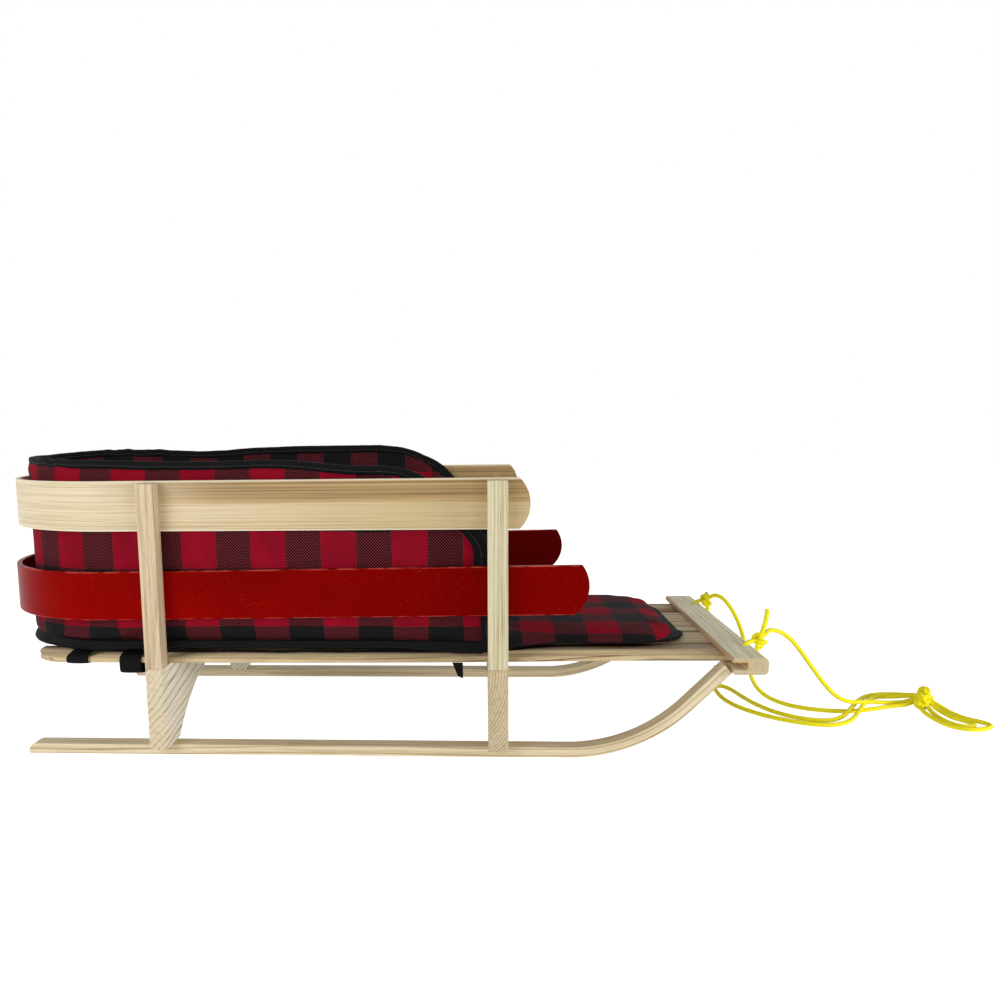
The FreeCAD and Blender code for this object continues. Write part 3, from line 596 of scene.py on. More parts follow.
def ramp(values):
    """An array held between 0 and 1."""
    return np.clip(values, 0, 1)


def read(table, place):
    """A value from a table of pairs, straight between them."""
    return np.interp(place, *zip(*table))


def units(rows):
    """Rows scaled to a length of one."""
    return rows / np.linalg.norm(rows, axis=-1, keepdims=True)


def times(rows, numbers):
    """Each row times its own number."""
    return rows * np.asarray(numbers)[:, None]


def travelled(line):
    """How far along a line each of its points is."""
    return np.concatenate([[0], np.cumsum(np.linalg.norm(np.diff(line, axis=0), axis=1))])


def evenly(line, step):
    """Points at even steps along a line of close points."""
    along = travelled(line)
    stations = np.linspace(0, along[-1], max(8, round(along[-1] / step)))
    return np.column_stack([np.interp(stations, along, line[:, axis]) for axis in range(3)])


def ripple(points, size, seed):
    """Soft noise from -1 to 1 at each point, for creases and puckers."""
    shift = Vector((seed * 3.1, seed * 1.7, seed * 2.3))
    return np.array([noise.noise(Vector(p) / size + shift) for p in points])


def ring_faces(rings, sides, closed=False, capped=True):
    """Faces between rings of points that follow each other, and over the two open ends."""
    faces = []
    for i in range(rings if closed else rings - 1):
        here, there = i * sides, (i + 1) % rings * sides
        faces += [(here + k, here + (k + 1) % sides, there + (k + 1) % sides, there + k)
                  for k in range(sides)]
    if capped and not closed:
        faces.append(tuple(range(sides))[::-1])
        faces.append(tuple(range((rings - 1) * sides, rings * sides)))
    return faces


def tube(name, centres, radius, sides, closed=False):
    """A round braided tube through close points.  Its cloth coordinates are metres along it and
    turns round it."""
    centres = np.asarray(centres, dtype=float)
    count = len(centres)
    if closed:
        tangents = np.roll(centres, -1, axis=0) - np.roll(centres, 1, axis=0)
    else:
        tangents = np.gradient(centres, axis=0)
    tangents = units(tangents)
    normals = [np.cross(tangents[0], (0.3, 0.2, 1.0))]
    for tangent in tangents:
        normals.append(units(normals[-1] - tangent * np.dot(normals[-1], tangent)))
    normals = np.array(normals[1:])
    binormals = np.cross(tangents, normals)
    twist = np.zeros(count)
    if closed:
        left_over = math.atan2(np.dot(normals[-1], binormals[0]), np.dot(normals[-1], normals[0]))
        twist = -left_over * np.arange(count) / (count - 1)
    turns = np.arange(sides) / sides
    verts, uvs = [], []
    for i, along in enumerate(travelled(centres)):
        angles = 2 * math.pi * turns + twist[i]
        reach = radius * braid(along, turns)
        verts.extend(centres[i] + np.outer(np.cos(angles) * reach, normals[i])
                     + np.outer(np.sin(angles) * reach, binormals[i]))
        uvs.extend((along, turn) for turn in turns)
    return piece_from(name, verts, ring_faces(count, sides, closed), uvs)


CLOTH = {"quality": 6, "mass": 0.25, "tension_stiffness": 12, "compression_stiffness": 12,
         "shear_stiffness": 6, "bending_stiffness": 0.6, "use_pressure": True, "vertex_group_mass": "held"}


def swell(piece, held, limit):
    """Fill a closed shell with air for some frames and keep its shape.  No point moves past the limit."""
    pad = settings("pad")
    before = coordinates(piece)
    activate(piece)
    group = piece.vertex_groups.new(name="held")
    group.add([int(i) for i in held], 1.0, "REPLACE")
    modifier = piece.modifiers.new("Cloth", "CLOTH")
    for key, value in CLOTH.items():
        setattr(modifier.settings, key, value)
    modifier.settings.uniform_pressure_force = pad.pressure
    modifier.settings.effector_weights.gravity = 0
    modifier.point_cache.frame_start = 1
    modifier.point_cache.frame_end = pad.frames
    scene = bpy.context.scene
    for number in range(1, pad.frames + 1):
        scene.frame_set(number)
    bpy.ops.object.modifier_apply(modifier=modifier.name)
    scene.frame_set(1)
    piece.vertex_groups.remove(piece.vertex_groups["held"])
    moves = coordinates(piece) - before
    lengths = np.linalg.norm(moves, axis=1, keepdims=True)
    return before + moves * np.minimum(1, limit / np.maximum(lengths, 1e-9))


def fill_pad(name, verts, uvs, across, held, limit, settle):
    """Join two layers of cloth round their rim, fill them with air, settle and smooth them.
    across is how many points stand in each row of a layer."""
    count = len(verts) // 2
    rows = count // across
    faces = []
    for first in (0, count):
        for r in range(rows - 1):
            for a in range(first + r * across, first + (r + 1) * across - 1):
                quad = (a, a + 1, a + 1 + across, a + across)
                faces.append(quad if first else quad[::-1])
    last = (rows - 1) * across
    rim = [*range(across), *range(2 * across - 1, count, across),
           *range(last + across - 2, last - 1, -1), *range(last - across, 0, -across)]
    faces += [(a, b, b + count, a + count) for a, b in zip(rim, rim[1:] + rim[:1])]
    piece = piece_from(name, verts, faces, uvs)
    points = swell(piece, {*rim, *[a + count for a in rim], *held}, limit)
    settle(points, count)
    set_coordinates(piece, points)
    modify(piece, "SUBSURF", levels=1, render_levels=1)
    return piece


def leaned(outs, ups, angles):
    """Two sets of directions square to each other, turned from outwards towards up."""
    return (times(outs, np.cos(angles)) + times(ups, np.sin(angles)),
            times(ups, np.cos(angles)) - times(outs, np.sin(angles)))


def tape_strip(name, line, sides, ups, half_sides, half_ups):
    """A folded tape along a closed line: a soft round-cornered section, carried by sideways and
    upward directions.  Its last ring lies on its first."""
    for values in (line, sides, ups, half_sides, half_ups):
        values[-1] = values[0]
    angles = np.linspace(0, 2 * math.pi, 18, endpoint=False)
    across, upward = [np.sign(part) * np.abs(part) ** 0.55 for part in (np.cos(angles), np.sin(angles))]
    verts, uvs = [], []
    for i, along in enumerate(travelled(line)):
        verts.extend(line[i] + np.outer(across * half_sides[i], sides[i])
                     + np.outer(upward * half_ups[i], ups[i]))
        uvs.extend((along, 0.04 * k / len(angles)) for k in range(len(angles)))
    piece = piece_from(name, verts, ring_faces(len(line), len(angles), capped=False), uvs)
    face_outwards(piece)
    return piece


def stitches(name, line, outs, ups, pitch=0.0025, share=0.60):
    """A row of short raised stitches along a line."""
    along = travelled(line)
    verts, faces = [], []
    for n in range(int(along[-1] / pitch)):
        i = min(int(np.searchsorted(along, (n + 0.5) * pitch)), len(line) - 1)
        half = units(line[i] - line[i - 1]) * pitch * share / 2
        wide, high = ups[i] * 0.00028, outs[i] * 0.00034
        faces += [tuple(len(verts) + corner for corner in face) for face in ring_faces(4, 4)]
        for end, taper in ((-1, 0.35), (-0.45, 1), (0.45, 1), (1, 0.35)):
            centre = line[i] + half * end
            verts.extend(centre + way * taper for way in (wide, high, -wide, -high))
    piece = piece_from(name, verts, faces)
    face_outwards(piece)
    return piece


# ---------------------------------------------------------------- tow rope
BRAID_STRANDS = 4
RESTING = 0.0027
RIGHT_KNOT = (0.460, -0.107, 0.1190)
LEFT_KNOT = (0.454, 0.111, 0.1225)
BUNDLE_KNOT = (0.714, 0.030, 0.0123)

# A point without a height rests on the ground.
ROPE_ROUTES = {
    "rope_eye_right": [
        RIGHT_KNOT, (0.438, -0.118, 0.124), (0.438, -0.118, 0.091), (0.4535, -0.115, 0.092),
        (0.4545, -0.112, 0.107), (0.458, -0.109, 0.1165),
    ],
    "rope_eye_left": [
        LEFT_KNOT, (0.438, 0.118, 0.124), (0.438, 0.118, 0.091), (0.456, 0.114, 0.091),
        (0.458, 0.112, 0.109), (0.455, 0.111, 0.120),
    ],
    "rope_tail_right": [
        RIGHT_KNOT, (0.464, -0.104, 0.131), (0.468, -0.103, 0.143), (0.470, -0.100, 0.155),
    ],
    "rope_tail_left": [
        LEFT_KNOT, (0.459, 0.120, 0.1255), (0.461, 0.1295, 0.1262), (0.4625, 0.1440, 0.1262),
    ],
    "rope_lead_right": [
        RIGHT_KNOT, (0.469, -0.099, 0.1285), (0.483, -0.089, 0.1285), (0.504, -0.076, 0.1165),
        (0.523, -0.064, 0.0955), (0.543, -0.052, 0.070), (0.563, -0.040, 0.046), (0.583, -0.028, 0.027),
        (0.604, -0.015, 0.017), (0.625, -0.001, 0.0134), (0.647, 0.012, 0.0086), (0.672, 0.025, 0.0036),
        (0.698, 0.031, 0.0032), BUNDLE_KNOT,
    ],
    "rope_lead_left": [
        LEFT_KNOT, (0.461, 0.106, 0.133), (0.473, 0.095, 0.130), (0.483, 0.084, 0.115),
        (0.491, 0.074, 0.095), (0.496, 0.066, 0.072), (0.499, 0.060, 0.046), (0.504, 0.053, 0.022),
        (0.515, 0.041, 0.008), (0.533, 0.022, 0.0026), (0.556, 0.002), (0.584, -0.007),
        (0.612, -0.008), (0.639, 0.001), (0.669, 0.014), (0.698, 0.021, 0.0032), BUNDLE_KNOT,
    ],
    "rope_rear_bight": [
        BUNDLE_KNOT, (0.704, 0.055, 0.0055), (0.681, 0.067, 0.0026), (0.657, 0.059),
        (0.631, 0.027, 0.0054), (0.609, -0.009, 0.0078), (0.587, -0.037, 0.0044), (0.565, -0.046),
        (0.539, -0.038), (0.515, -0.018), (0.497, 0.020), (0.489, 0.058), (0.484, 0.088),
        (0.475, 0.103), (0.465, 0.095), (0.462, 0.074), (0.462, 0.042), (0.471, 0.008),
        (0.494, -0.026), (0.522, -0.048), (0.548, -0.060), (0.573, -0.060), (0.596, -0.046, 0.0044),
        (0.618, -0.014, 0.0082), (0.642, 0.024, 0.0072), (0.668, 0.055, 0.0026), (0.693, 0.046, 0.005),
        (0.713, 0.031, 0.013),
    ],
    "rope_front_loop_outer": [
        BUNDLE_KNOT, (0.728, 0.012, 0.004), (0.730, -0.010), (0.735, -0.032), (0.750, -0.046),
        (0.754, -0.060), (0.740, -0.071), (0.720, -0.074), (0.704, -0.062), (0.698, -0.038),
        (0.698, -0.010), (0.702, 0.010, 0.004), (0.713, 0.029, 0.012),
    ],
    "rope_front_loop_inner": [
        BUNDLE_KNOT, (0.720, 0.009, 0.004), (0.720, -0.012), (0.724, -0.034), (0.737, -0.048),
        (0.734, -0.060), (0.720, -0.064), (0.710, -0.054), (0.706, -0.034), (0.708, -0.012),
        (0.711, 0.008, 0.004), (0.713, 0.029, 0.013),
    ],
}


def smooth_route(name, points):
    """Evenly spaced points along one smooth spline that a route's points shape."""
    curve = bpy.data.curves.new(name + "_route", "CURVE")
    curve.dimensions = "3D"
    curve.resolution_u = 32
    spline = curve.splines.new("NURBS")
    spline.points.add(len(points) - 1)
    for point, (x, y, *height) in zip(spline.points, points):
        point.co = (x, y, *(height or [RESTING]), 1)
    spline.order_u = 3
    spline.use_endpoint_u = True
    route = bpy.data.objects.new(name + "_route", curve)
    bpy.context.scene.collection.objects.link(route)
    line = bpy.data.meshes.new_from_object(route)
    dense = np.array([v.co[:] for v in line.vertices])
    bpy.data.objects.remove(route)
    bpy.data.meshes.remove(line)
    bpy.data.curves.remove(curve)
    return evenly(dense, settings("rope").step)


def braid(along, turns):
    """How far strands that cross each way stand out round a braided cord."""
    twist = along / settings("rope").lay
    ways = [np.abs(np.sin(math.pi * BRAID_STRANDS * (turns + way * twist))) for way in (1, -1)]
    return 0.965 + 0.035 * np.maximum(*ways)


def knot_line(place, reach, axis, roll, strand=0.0, spread=0.0):
    """A closed overhand line about a place, flat across an axis, as far out as reach."""
    turns = np.linspace(0, 2 * math.pi, 240, endpoint=False)
    flat = reach / 3 * np.column_stack([
        np.sin(turns) + 2 * np.sin(2 * turns),
        np.cos(turns) - 2 * np.cos(2 * turns),
        -1.25 * np.sin(3 * turns),
    ])
    if spread:
        swing = 2 * math.pi * strand + turns
        flat += times(units(flat * (1, 1, 0)), np.cos(swing) * spread)
        flat[:, 2] += np.sin(swing) * spread
    turn = Vector(axis).to_track_quat("Z", "Y").to_matrix() @ Matrix.Rotation(roll, 3, "Z")
    return flat @ np.array(turn).T + np.array(place)


def knot_piece(name, lines, sides):
    """One knot of one or more parallel strands."""
    radius = settings("rope").diameter / 2
    parts = [tube(name, line, radius, sides, closed=True) for line in lines]
    clear_selection()
    for part in parts:
        part.select_set(True)
    bpy.context.view_layer.objects.active = parts[0]
    if len(parts) > 1:
        bpy.ops.object.join()
    parts[0].name = name
    return parts[0]


class SLED_OT_rope(bpy.types.Operator):
    """Lay the braided tow rope: an eye round the bar at each end, two leads, a bight and two small loops"""
    bl_idname = "sled.rope"
    bl_label = "Tow rope"

    def execute(self, context):
        rope = settings("rope")
        fibre = rope_fibre()
        right = knot_piece("tow_knot_right", [knot_line(RIGHT_KNOT, 0.0078, (0.85, 0.15, 0.55), 0.4)], 14)
        left = knot_piece("tow_knot_left", [knot_line(LEFT_KNOT, 0.0078, (0.85, -0.35, 0.5), 1.3)], 14)
        above = Vector(BUNDLE_KNOT) + Vector((-0.001, -0.008, 0.0004))
        below = above + Vector((-0.007, -0.010, -0.0012))
        strands = [knot_line(above, 0.0100, (0.75, -0.65, 0.12), 0.7, n / 3, 0.0023) for n in range(3)]
        strands += [knot_line(below, 0.0088, (0.55, -0.80, 0.20), 1.6, n / 2, 0.0020) for n in range(2)]
        bundle = knot_piece("tow_knot_bundle", strands, 12)
        for knot, node in ((right, "rope_knot_right"), (left, "rope_knot_left"), (bundle, "rope_bundle_knot")):
            dress(knot, fibre, "yellow_rope", node)
        for node, points in ROPE_ROUTES.items():
            line = smooth_route(node, points)
            cord = tube(node.replace("rope", "tow_rope"), line, rope.diameter / 2, rope.sides)
            dress(cord, fibre, "yellow_rope", node)
        return {"FINISHED"}


# ---------------------------------------------------------------- pad wall
# Pairs of a place along the sled and a height or width, but CHECK_ROWS pairs a height with a row of
# squares and TAPE_WIDTHS a height with a width.
WALL_TOP_RIGHT = [(-0.508, 0.001), (-0.45, 0.001), (-0.41, 0.001), (-0.36, 0.0), (-0.313, -0.001),
                  (-0.286, -0.0015), (-0.229, -0.0035), (-0.172, -0.0042), (-0.088, -0.0032),
                  (-0.060, -0.0046), (-0.043, -0.0066), (-0.025, -0.0085), (-0.008, -0.0100),
                  (0.022, -0.0110), (0.052, -0.0080), (0.087, -0.003), (0.122, 0.0)]
WALL_TOP_LEFT = [(-0.508, 0.001), (-0.45, 0.003), (-0.40, 0.005), (-0.344, 0.004), (-0.270, 0.0),
                 (-0.233, 0.001), (-0.196, 0.004), (-0.122, 0.006), (-0.005, 0.006), (0.032, 0.002),
                 (0.057, -0.001), (0.087, 0.001), (0.122, 0.0)]
WALL_CURL = [(-0.52, 0.013), (-0.40, 0.016), (-0.365, 0.021), (-0.32, 0.026), (-0.27, 0.033), (0.04, 0.034),
             (0.11, 0.008), (0.16, 0.003)]
CHECK_ROWS = [(0.10, -1.30), (0.147, 0.0), (0.2140, 2.0), (0.2590, 3.0), (0.2958, 4.0), (0.345, 5.30)]
HEM_FRONT = 0.1175
HEM_LINE = [(-0.52, 0.1170), (-0.43, 0.1172), (-0.365, 0.1192), (-0.34, 0.1192), (-0.31, 0.1200),
            (-0.274, 0.1218), (-0.22, 0.1242), (0.05, 0.1242), (0.10, 0.1200), (0.128, HEM_FRONT),
            (0.16, HEM_FRONT)]
HEM_WIDTHS = [(-0.52, 0.0150), (-0.43, 0.0150), (-0.36, 0.0140), (-0.31, 0.0115), (-0.22, 0.0090),
              (0.05, 0.0088), (0.10, 0.0125), (0.14, 0.0150), (0.16, 0.0140)]
TAPE_WIDTHS = [(0.117, 0.0140), (0.1375, 0.0145), (0.159, 0.0160), (0.190, 0.0190), (0.223, 0.0235),
               (0.254, 0.0172), (0.295, 0.0135), (0.320, 0.0110), (0.333, 0.0095)]
FOOT_ROUND = 0.011
RAIL_THICK = 0.006
RAILS_TOP, RAILS_FOOT = 0.3155, 0.1540


class WallShape:
    """The upright pad: a U seen from above, with its own height along the way.
    s runs along the middle of its thickness, from 0 at the back, positive to the left."""

    def __init__(self):
        pad = settings("pad")
        low, high = box("back_cushion")
        self.thick = pad.wall_thick
        self.half = high.y - self.thick / 2
        self.rear = low.x + self.thick / 2
        self.bend = pad.wall_bend - self.thick / 2
        self.bottom = box("seat_cushion")[0].z + 0.0018
        self.hem = low.z + 0.0060
        self.top = box("back_cushion_tape")[1].z - 0.0015
        self.flat = self.half - self.bend
        self.side_start = self.flat + self.bend * math.pi / 2
        self.bend_x = self.rear + self.bend
        self.front, self.toe, self.slope = pad.wall_front, pad.wall_toe, pad.wall_slope
        self.round, self.round_x = pad.wall_round, pad.wall_round_x
        self.round_z = self.top - self.round
        across = self.round - self.toe - math.sin(self.slope) * (self.front - self.toe - self.round_x)
        self.toe_z = self.round_z + across / math.cos(self.slope)
        self.slope_top = self.round_z + self.round * math.cos(self.slope)

    def s_at(self, x):
        """The distance from the back's middle to a place x on a straight side."""
        return self.side_start + x - self.bend_x

    def x_at(self, s):
        """That place x, carried on past the bend as if the wall were straight."""
        return self.bend_x + abs(s) - self.side_start

    def plan(self, s, out):
        """Where a distance along the wall and an offset outwards are, seen from above."""
        far, side = abs(s), math.copysign(1, s)
        if far <= self.flat:
            return self.rear - out, s
        if far <= self.side_start:
            angle = (far - self.flat) / self.bend
            reach = self.bend + out
            return self.bend_x - reach * math.cos(angle), side * (self.flat + reach * math.sin(angle))
        return self.bend_x + far - self.side_start, side * (self.half + out)

    def outward(self, x, y):
        """The level direction away from the seat at a place on the wall."""
        if x >= self.bend_x:
            return np.array((0, math.copysign(1, y), 0.0))
        if abs(y) <= self.flat:
            return np.array((-1.0, 0, 0))
        return units(np.array((x - self.bend_x, y - math.copysign(self.flat, y), 0)))

    def front_x(self, z):
        """Where the wall's front edge is at a height: rounded foot, upright, sloping back, then round
        to the level top."""
        if z >= self.slope_top:
            rise = min(z - self.round_z, self.round)
            return self.round_x + math.sqrt(max(self.round ** 2 - rise ** 2, 0))
        if z >= self.toe_z + self.toe * math.cos(self.slope):
            return (self.round_x + self.round * math.sin(self.slope)
                    + (self.slope_top - z) / math.tan(self.slope))
        if z >= self.toe_z:
            return self.front - self.toe + math.sqrt(self.toe ** 2 - (z - self.toe_z) ** 2)
        drop = min(max(HEM_FRONT + FOOT_ROUND - z, 0), FOOT_ROUND)
        return self.front - FOOT_ROUND + math.sqrt(FOOT_ROUND ** 2 - drop ** 2)

    def raised(self, s, z):
        """A height with the sag of the top spread down the wall."""
        lift = read(WALL_TOP_LEFT if s > 0 else WALL_TOP_RIGHT, self.x_at(s))
        return z + lift * max(0.0, (z - self.bottom) / (self.top - self.bottom)) ** 2

    def curl(self, s, z):
        """How far the wall's foot turns in under the seat."""
        share = clamp((self.hem - z) / (self.hem - self.bottom))
        return read(WALL_CURL, self.x_at(s)) * share ** 1.35

    def edge(self):
        """The bound edge, once round: from the back's middle along the foot to the right front corner,
        up, round the top to the left front corner, down and back.  Close pairs of distance along the
        wall and height."""
        foot_end = self.front - FOOT_ROUND
        side = [(s, read(HEM_LINE, self.x_at(s))) for s in np.linspace(0, self.s_at(foot_end), 320)]
        side += [(self.s_at(foot_end + FOOT_ROUND * math.sin(a)), HEM_FRONT + FOOT_ROUND * (1 - math.cos(a)))
                 for a in np.linspace(0, math.pi / 2, 14)[1:]]
        for start, end, count in ((HEM_FRONT + FOOT_ROUND, self.round_z, 50),
                                  (self.round_z, self.slope_top, 40)):
            side += [(self.s_at(self.front_x(z)), z) for z in np.linspace(start, end, count)[1:]]
        side += [(self.s_at(self.round_x + self.round * math.sin(a)), self.round_z + self.round * math.cos(a))
                 for a in np.linspace(self.slope, 0, 30)[1:]]
        level = self.s_at(self.round_x)
        over = np.linspace(-level, level, 420)[1:-1]
        return [(-s, z) for s, z in side] + [(s, self.top) for s in over] + side[::-1]


class SLED_OT_wall_pad(bpy.types.Operator):
    """Fill the upright pad that goes round the child's back and sides"""
    bl_idname = "sled.wall_pad"
    bl_label = "Pad wall"

    def execute(self, context):
        wall = WallShape()
        columns, rows, low_rows = 231, 40, 9
        waist = wall.hem + 0.004
        rises = np.sin(np.linspace(0, math.pi / 2, rows - low_rows)) ** 1.15
        heights = np.concatenate([np.linspace(wall.bottom, waist, low_rows + 1)[:-1],
                                  waist + (wall.top - waist) * rises])
        verts, uvs, bound = [], [], set()
        for face in (1, -1):
            for z in heights:
                reach = wall.s_at(wall.front_x(z))
                under_tape = 0.85 * read(TAPE_WIDTHS, z)
                for s in np.linspace(-reach, reach, columns):
                    edge = min(reach - abs(s), wall.top - z) - under_tape
                    if edge <= 0:
                        bound.add(len(verts))
                    full = 1 - math.exp(-max(edge, 0) / 0.011)
                    low = 1 - math.exp(-max(z - wall.bottom, 0) / 0.010)
                    thick = wall.thick * (0.34 + 0.42 * full * low)
                    inward = 0.0016 * (1 - full) * (face > 0)
                    out = face * thick / 2 - inward - wall.curl(s, z)
                    verts.append((*wall.plan(s, out), wall.raised(s, z)))
                    uvs.append(self.cloth_place(wall, s, z, face))
        piece = fill_pad("pad_wall", verts, uvs, columns, bound, 0.0045,
                         lambda points, count: self.settle(wall, points, count))
        dress(piece, plaid_cloth(), "plaid_cloth", "back_cushion")
        return {"FINISHED"}

    def cloth_place(self, wall, s, z, face):
        """The check's own coordinates on the outer or inner face: true length round the wall, and
        height.  The rows are set where the squares fall on the right outside and the left inside."""
        stretch = (wall.bend + face * wall.thick / 2) * math.pi / 2 + wall.flat - wall.side_start
        far = along = abs(s)
        if far > wall.side_start:
            along = far + stretch
        elif far > wall.flat:
            along = wall.flat + (far - wall.flat) * (1 + stretch / (wall.bend * math.pi / 2))
        t = math.copysign(along, s)
        if face > 0:
            slant = 0.003 * clamp((wall.x_at(s) + 0.40) / 0.20) - 0.003
            return -t - wall.s_at(-0.2729) - stretch, read(CHECK_ROWS, z - slant) * settings("plaid").square
        return t - wall.s_at(-0.1266) - stretch, z - 0.2653

    def settle(self, wall, points, count):
        """Press the cloth against the rails, let it show a little between them, and pucker its top."""
        rails = [box("upper_rail"), box("lower_rail")]
        rail_face = rails[0][1].y - RAIL_THICK
        soft, fine = ripple(points, 0.045, 1), ripple(points, 0.014, 2)
        for i, point in enumerate(points):
            z = point[2]
            out = wall.outward(*point[:2])
            in_bend = point[0] < wall.bend_x
            near_top = math.exp(-max(wall.top - z, 0) / 0.03)
            behind = max(0.0, -out[0]) ** 2 * (i < count)
            foot = clamp((RAILS_FOOT - z) / 0.008) * clamp((z - 0.1215) / 0.006)
            push = 0.0011 * soft[i] + (0.0006 + 0.0016 * near_top) * fine[i]
            push += behind * (0.0048 * clamp((z - RAILS_TOP) / 0.010) + 0.0062 * foot)
            point[:2] += out[:2] * push
            pressed = any(low.z - 0.003 < z < high.z + 0.003 for low, high in rails)
            free = z > RAILS_TOP or z < RAILS_FOOT
            limit = rail_face - (0.0006 if pressed else -0.0080 if free else -0.0015)
            if not in_bend:
                limit = min(limit, rail_face + 0.0015)
                point[1] = max(-limit, min(limit, point[1]))
            elif i < count:
                centre = np.array((wall.bend_x, math.copysign(min(abs(point[1]), wall.flat), point[1])))
                gap = point[:2] - centre
                allowed = limit - wall.half + wall.bend
                point[:2] = centre + gap * min(1, allowed / np.linalg.norm(gap))


class SLED_OT_wall_tape(bpy.types.Operator):
    """Bind the free edge of the upright pad with black tape and stitch it down"""
    bl_idname = "sled.wall_tape"
    bl_label = "Wall tape"

    def execute(self, context):
        wall = WallShape()
        spots = evenly(np.array([(*wall.plan(s, 0.0), wall.raised(s, z)) for s, z in wall.edge()]), 0.003)
        tangents = np.gradient(spots, axis=0)
        tangents[0] = tangents[-1] = spots[1] - spots[-2]
        tangents = units(tangents)
        outs = np.array([wall.outward(*spot[:2]) for spot in spots])
        outs = units(outs - times(tangents, np.sum(outs * tangents, axis=1)))
        ups = np.cross(tangents, outs)
        ups *= np.sign(ups[len(ups) // 2][2])
        x, y, z = spots.T
        creases, waves = ripple(spots, 0.012, 5), ripple(spots, 0.035, 6)
        at_foot = ramp((0.1335 - z) / 0.004) * ramp((wall.front - 0.014 - x) / 0.03)
        flare = at_foot * ramp((-0.352 - x) / 0.03)
        loose = np.exp(-(((x + 0.348) / 0.05) ** 2)) * (np.abs(y) > 0.06) * (1 - at_foot)
        rises, hems = read(TAPE_WIDTHS, z), read(HEM_WIDTHS, x)
        widths = (rises + (hems - rises) * at_foot) * (1 + 0.06 * waves) + 0.0016 * (y > 0.1)
        middle = spots + times(ups, creases * (0.0003 + 0.0016 * loose) + 0.0014 - widths / 2)
        middle += times(outs, waves * (0.0007 + 0.0022 * loose) + at_foot * 0.0046 + flare * 0.0022)
        outs, ups = leaned(outs, ups, 0.10 * at_foot - 0.65 * flare)
        half_thick = settings("pad").tape_thick / 2 * (1 + 0.10 * creases) * (1 - 0.42 * at_foot)
        piece = tape_strip("pad_wall_tape", middle, outs, ups, half_thick, widths / 2)
        dress(piece, black_tape(), "black_tape", "back_cushion_tape")
        thread = sewing_thread()
        high = np.flatnonzero(z > 0.135)
        kept = slice(high[0], high[-1])
        for side, label in ((1, "outside"), (-1, "inside")):
            row = middle + times(outs, side * half_thick * 0.985) - times(ups, widths * 0.10)
            sewn = stitches("pad_wall_stitches_" + label, row[kept], (outs * side)[kept], ups[kept])
            dress(sewn, thread, "black_tape")
        return {"FINISHED"}


# ---------------------------------------------------------------- pad seat
# Where the seat's two edges run: pairs of a place along the sled and a distance from its middle.
SEAT_RIGHT = [(0.140, 0.1445), (0.165, 0.130), (0.200, 0.112), (0.235, 0.103), (0.300, 0.104),
              (0.327, 0.102), (0.3415, 0.098), (0.352, 0.090), (0.360, 0.081), (0.3665, 0.069), (0.371, 0.056)]
SEAT_LEFT = [(0.140, 0.1445), (0.300, 0.139), (0.334, 0.133), (0.349, 0.125), (0.359, 0.113),
             (0.3665, 0.098), (0.371, 0.082)]
SEAT_FREE = 0.140
SEAT_TUCK = 0.0055


def seat_half(x, corners):
    """The seat's reach to one side at a place along it."""
    bend = settings("pad").seat_bend
    low, high = box("seat_cushion")
    if x < low.x + bend:
        return high.y - bend + math.sqrt(max(bend ** 2 - (x - low.x - bend) ** 2, 0)) - SEAT_TUCK
    return read(corners, x)


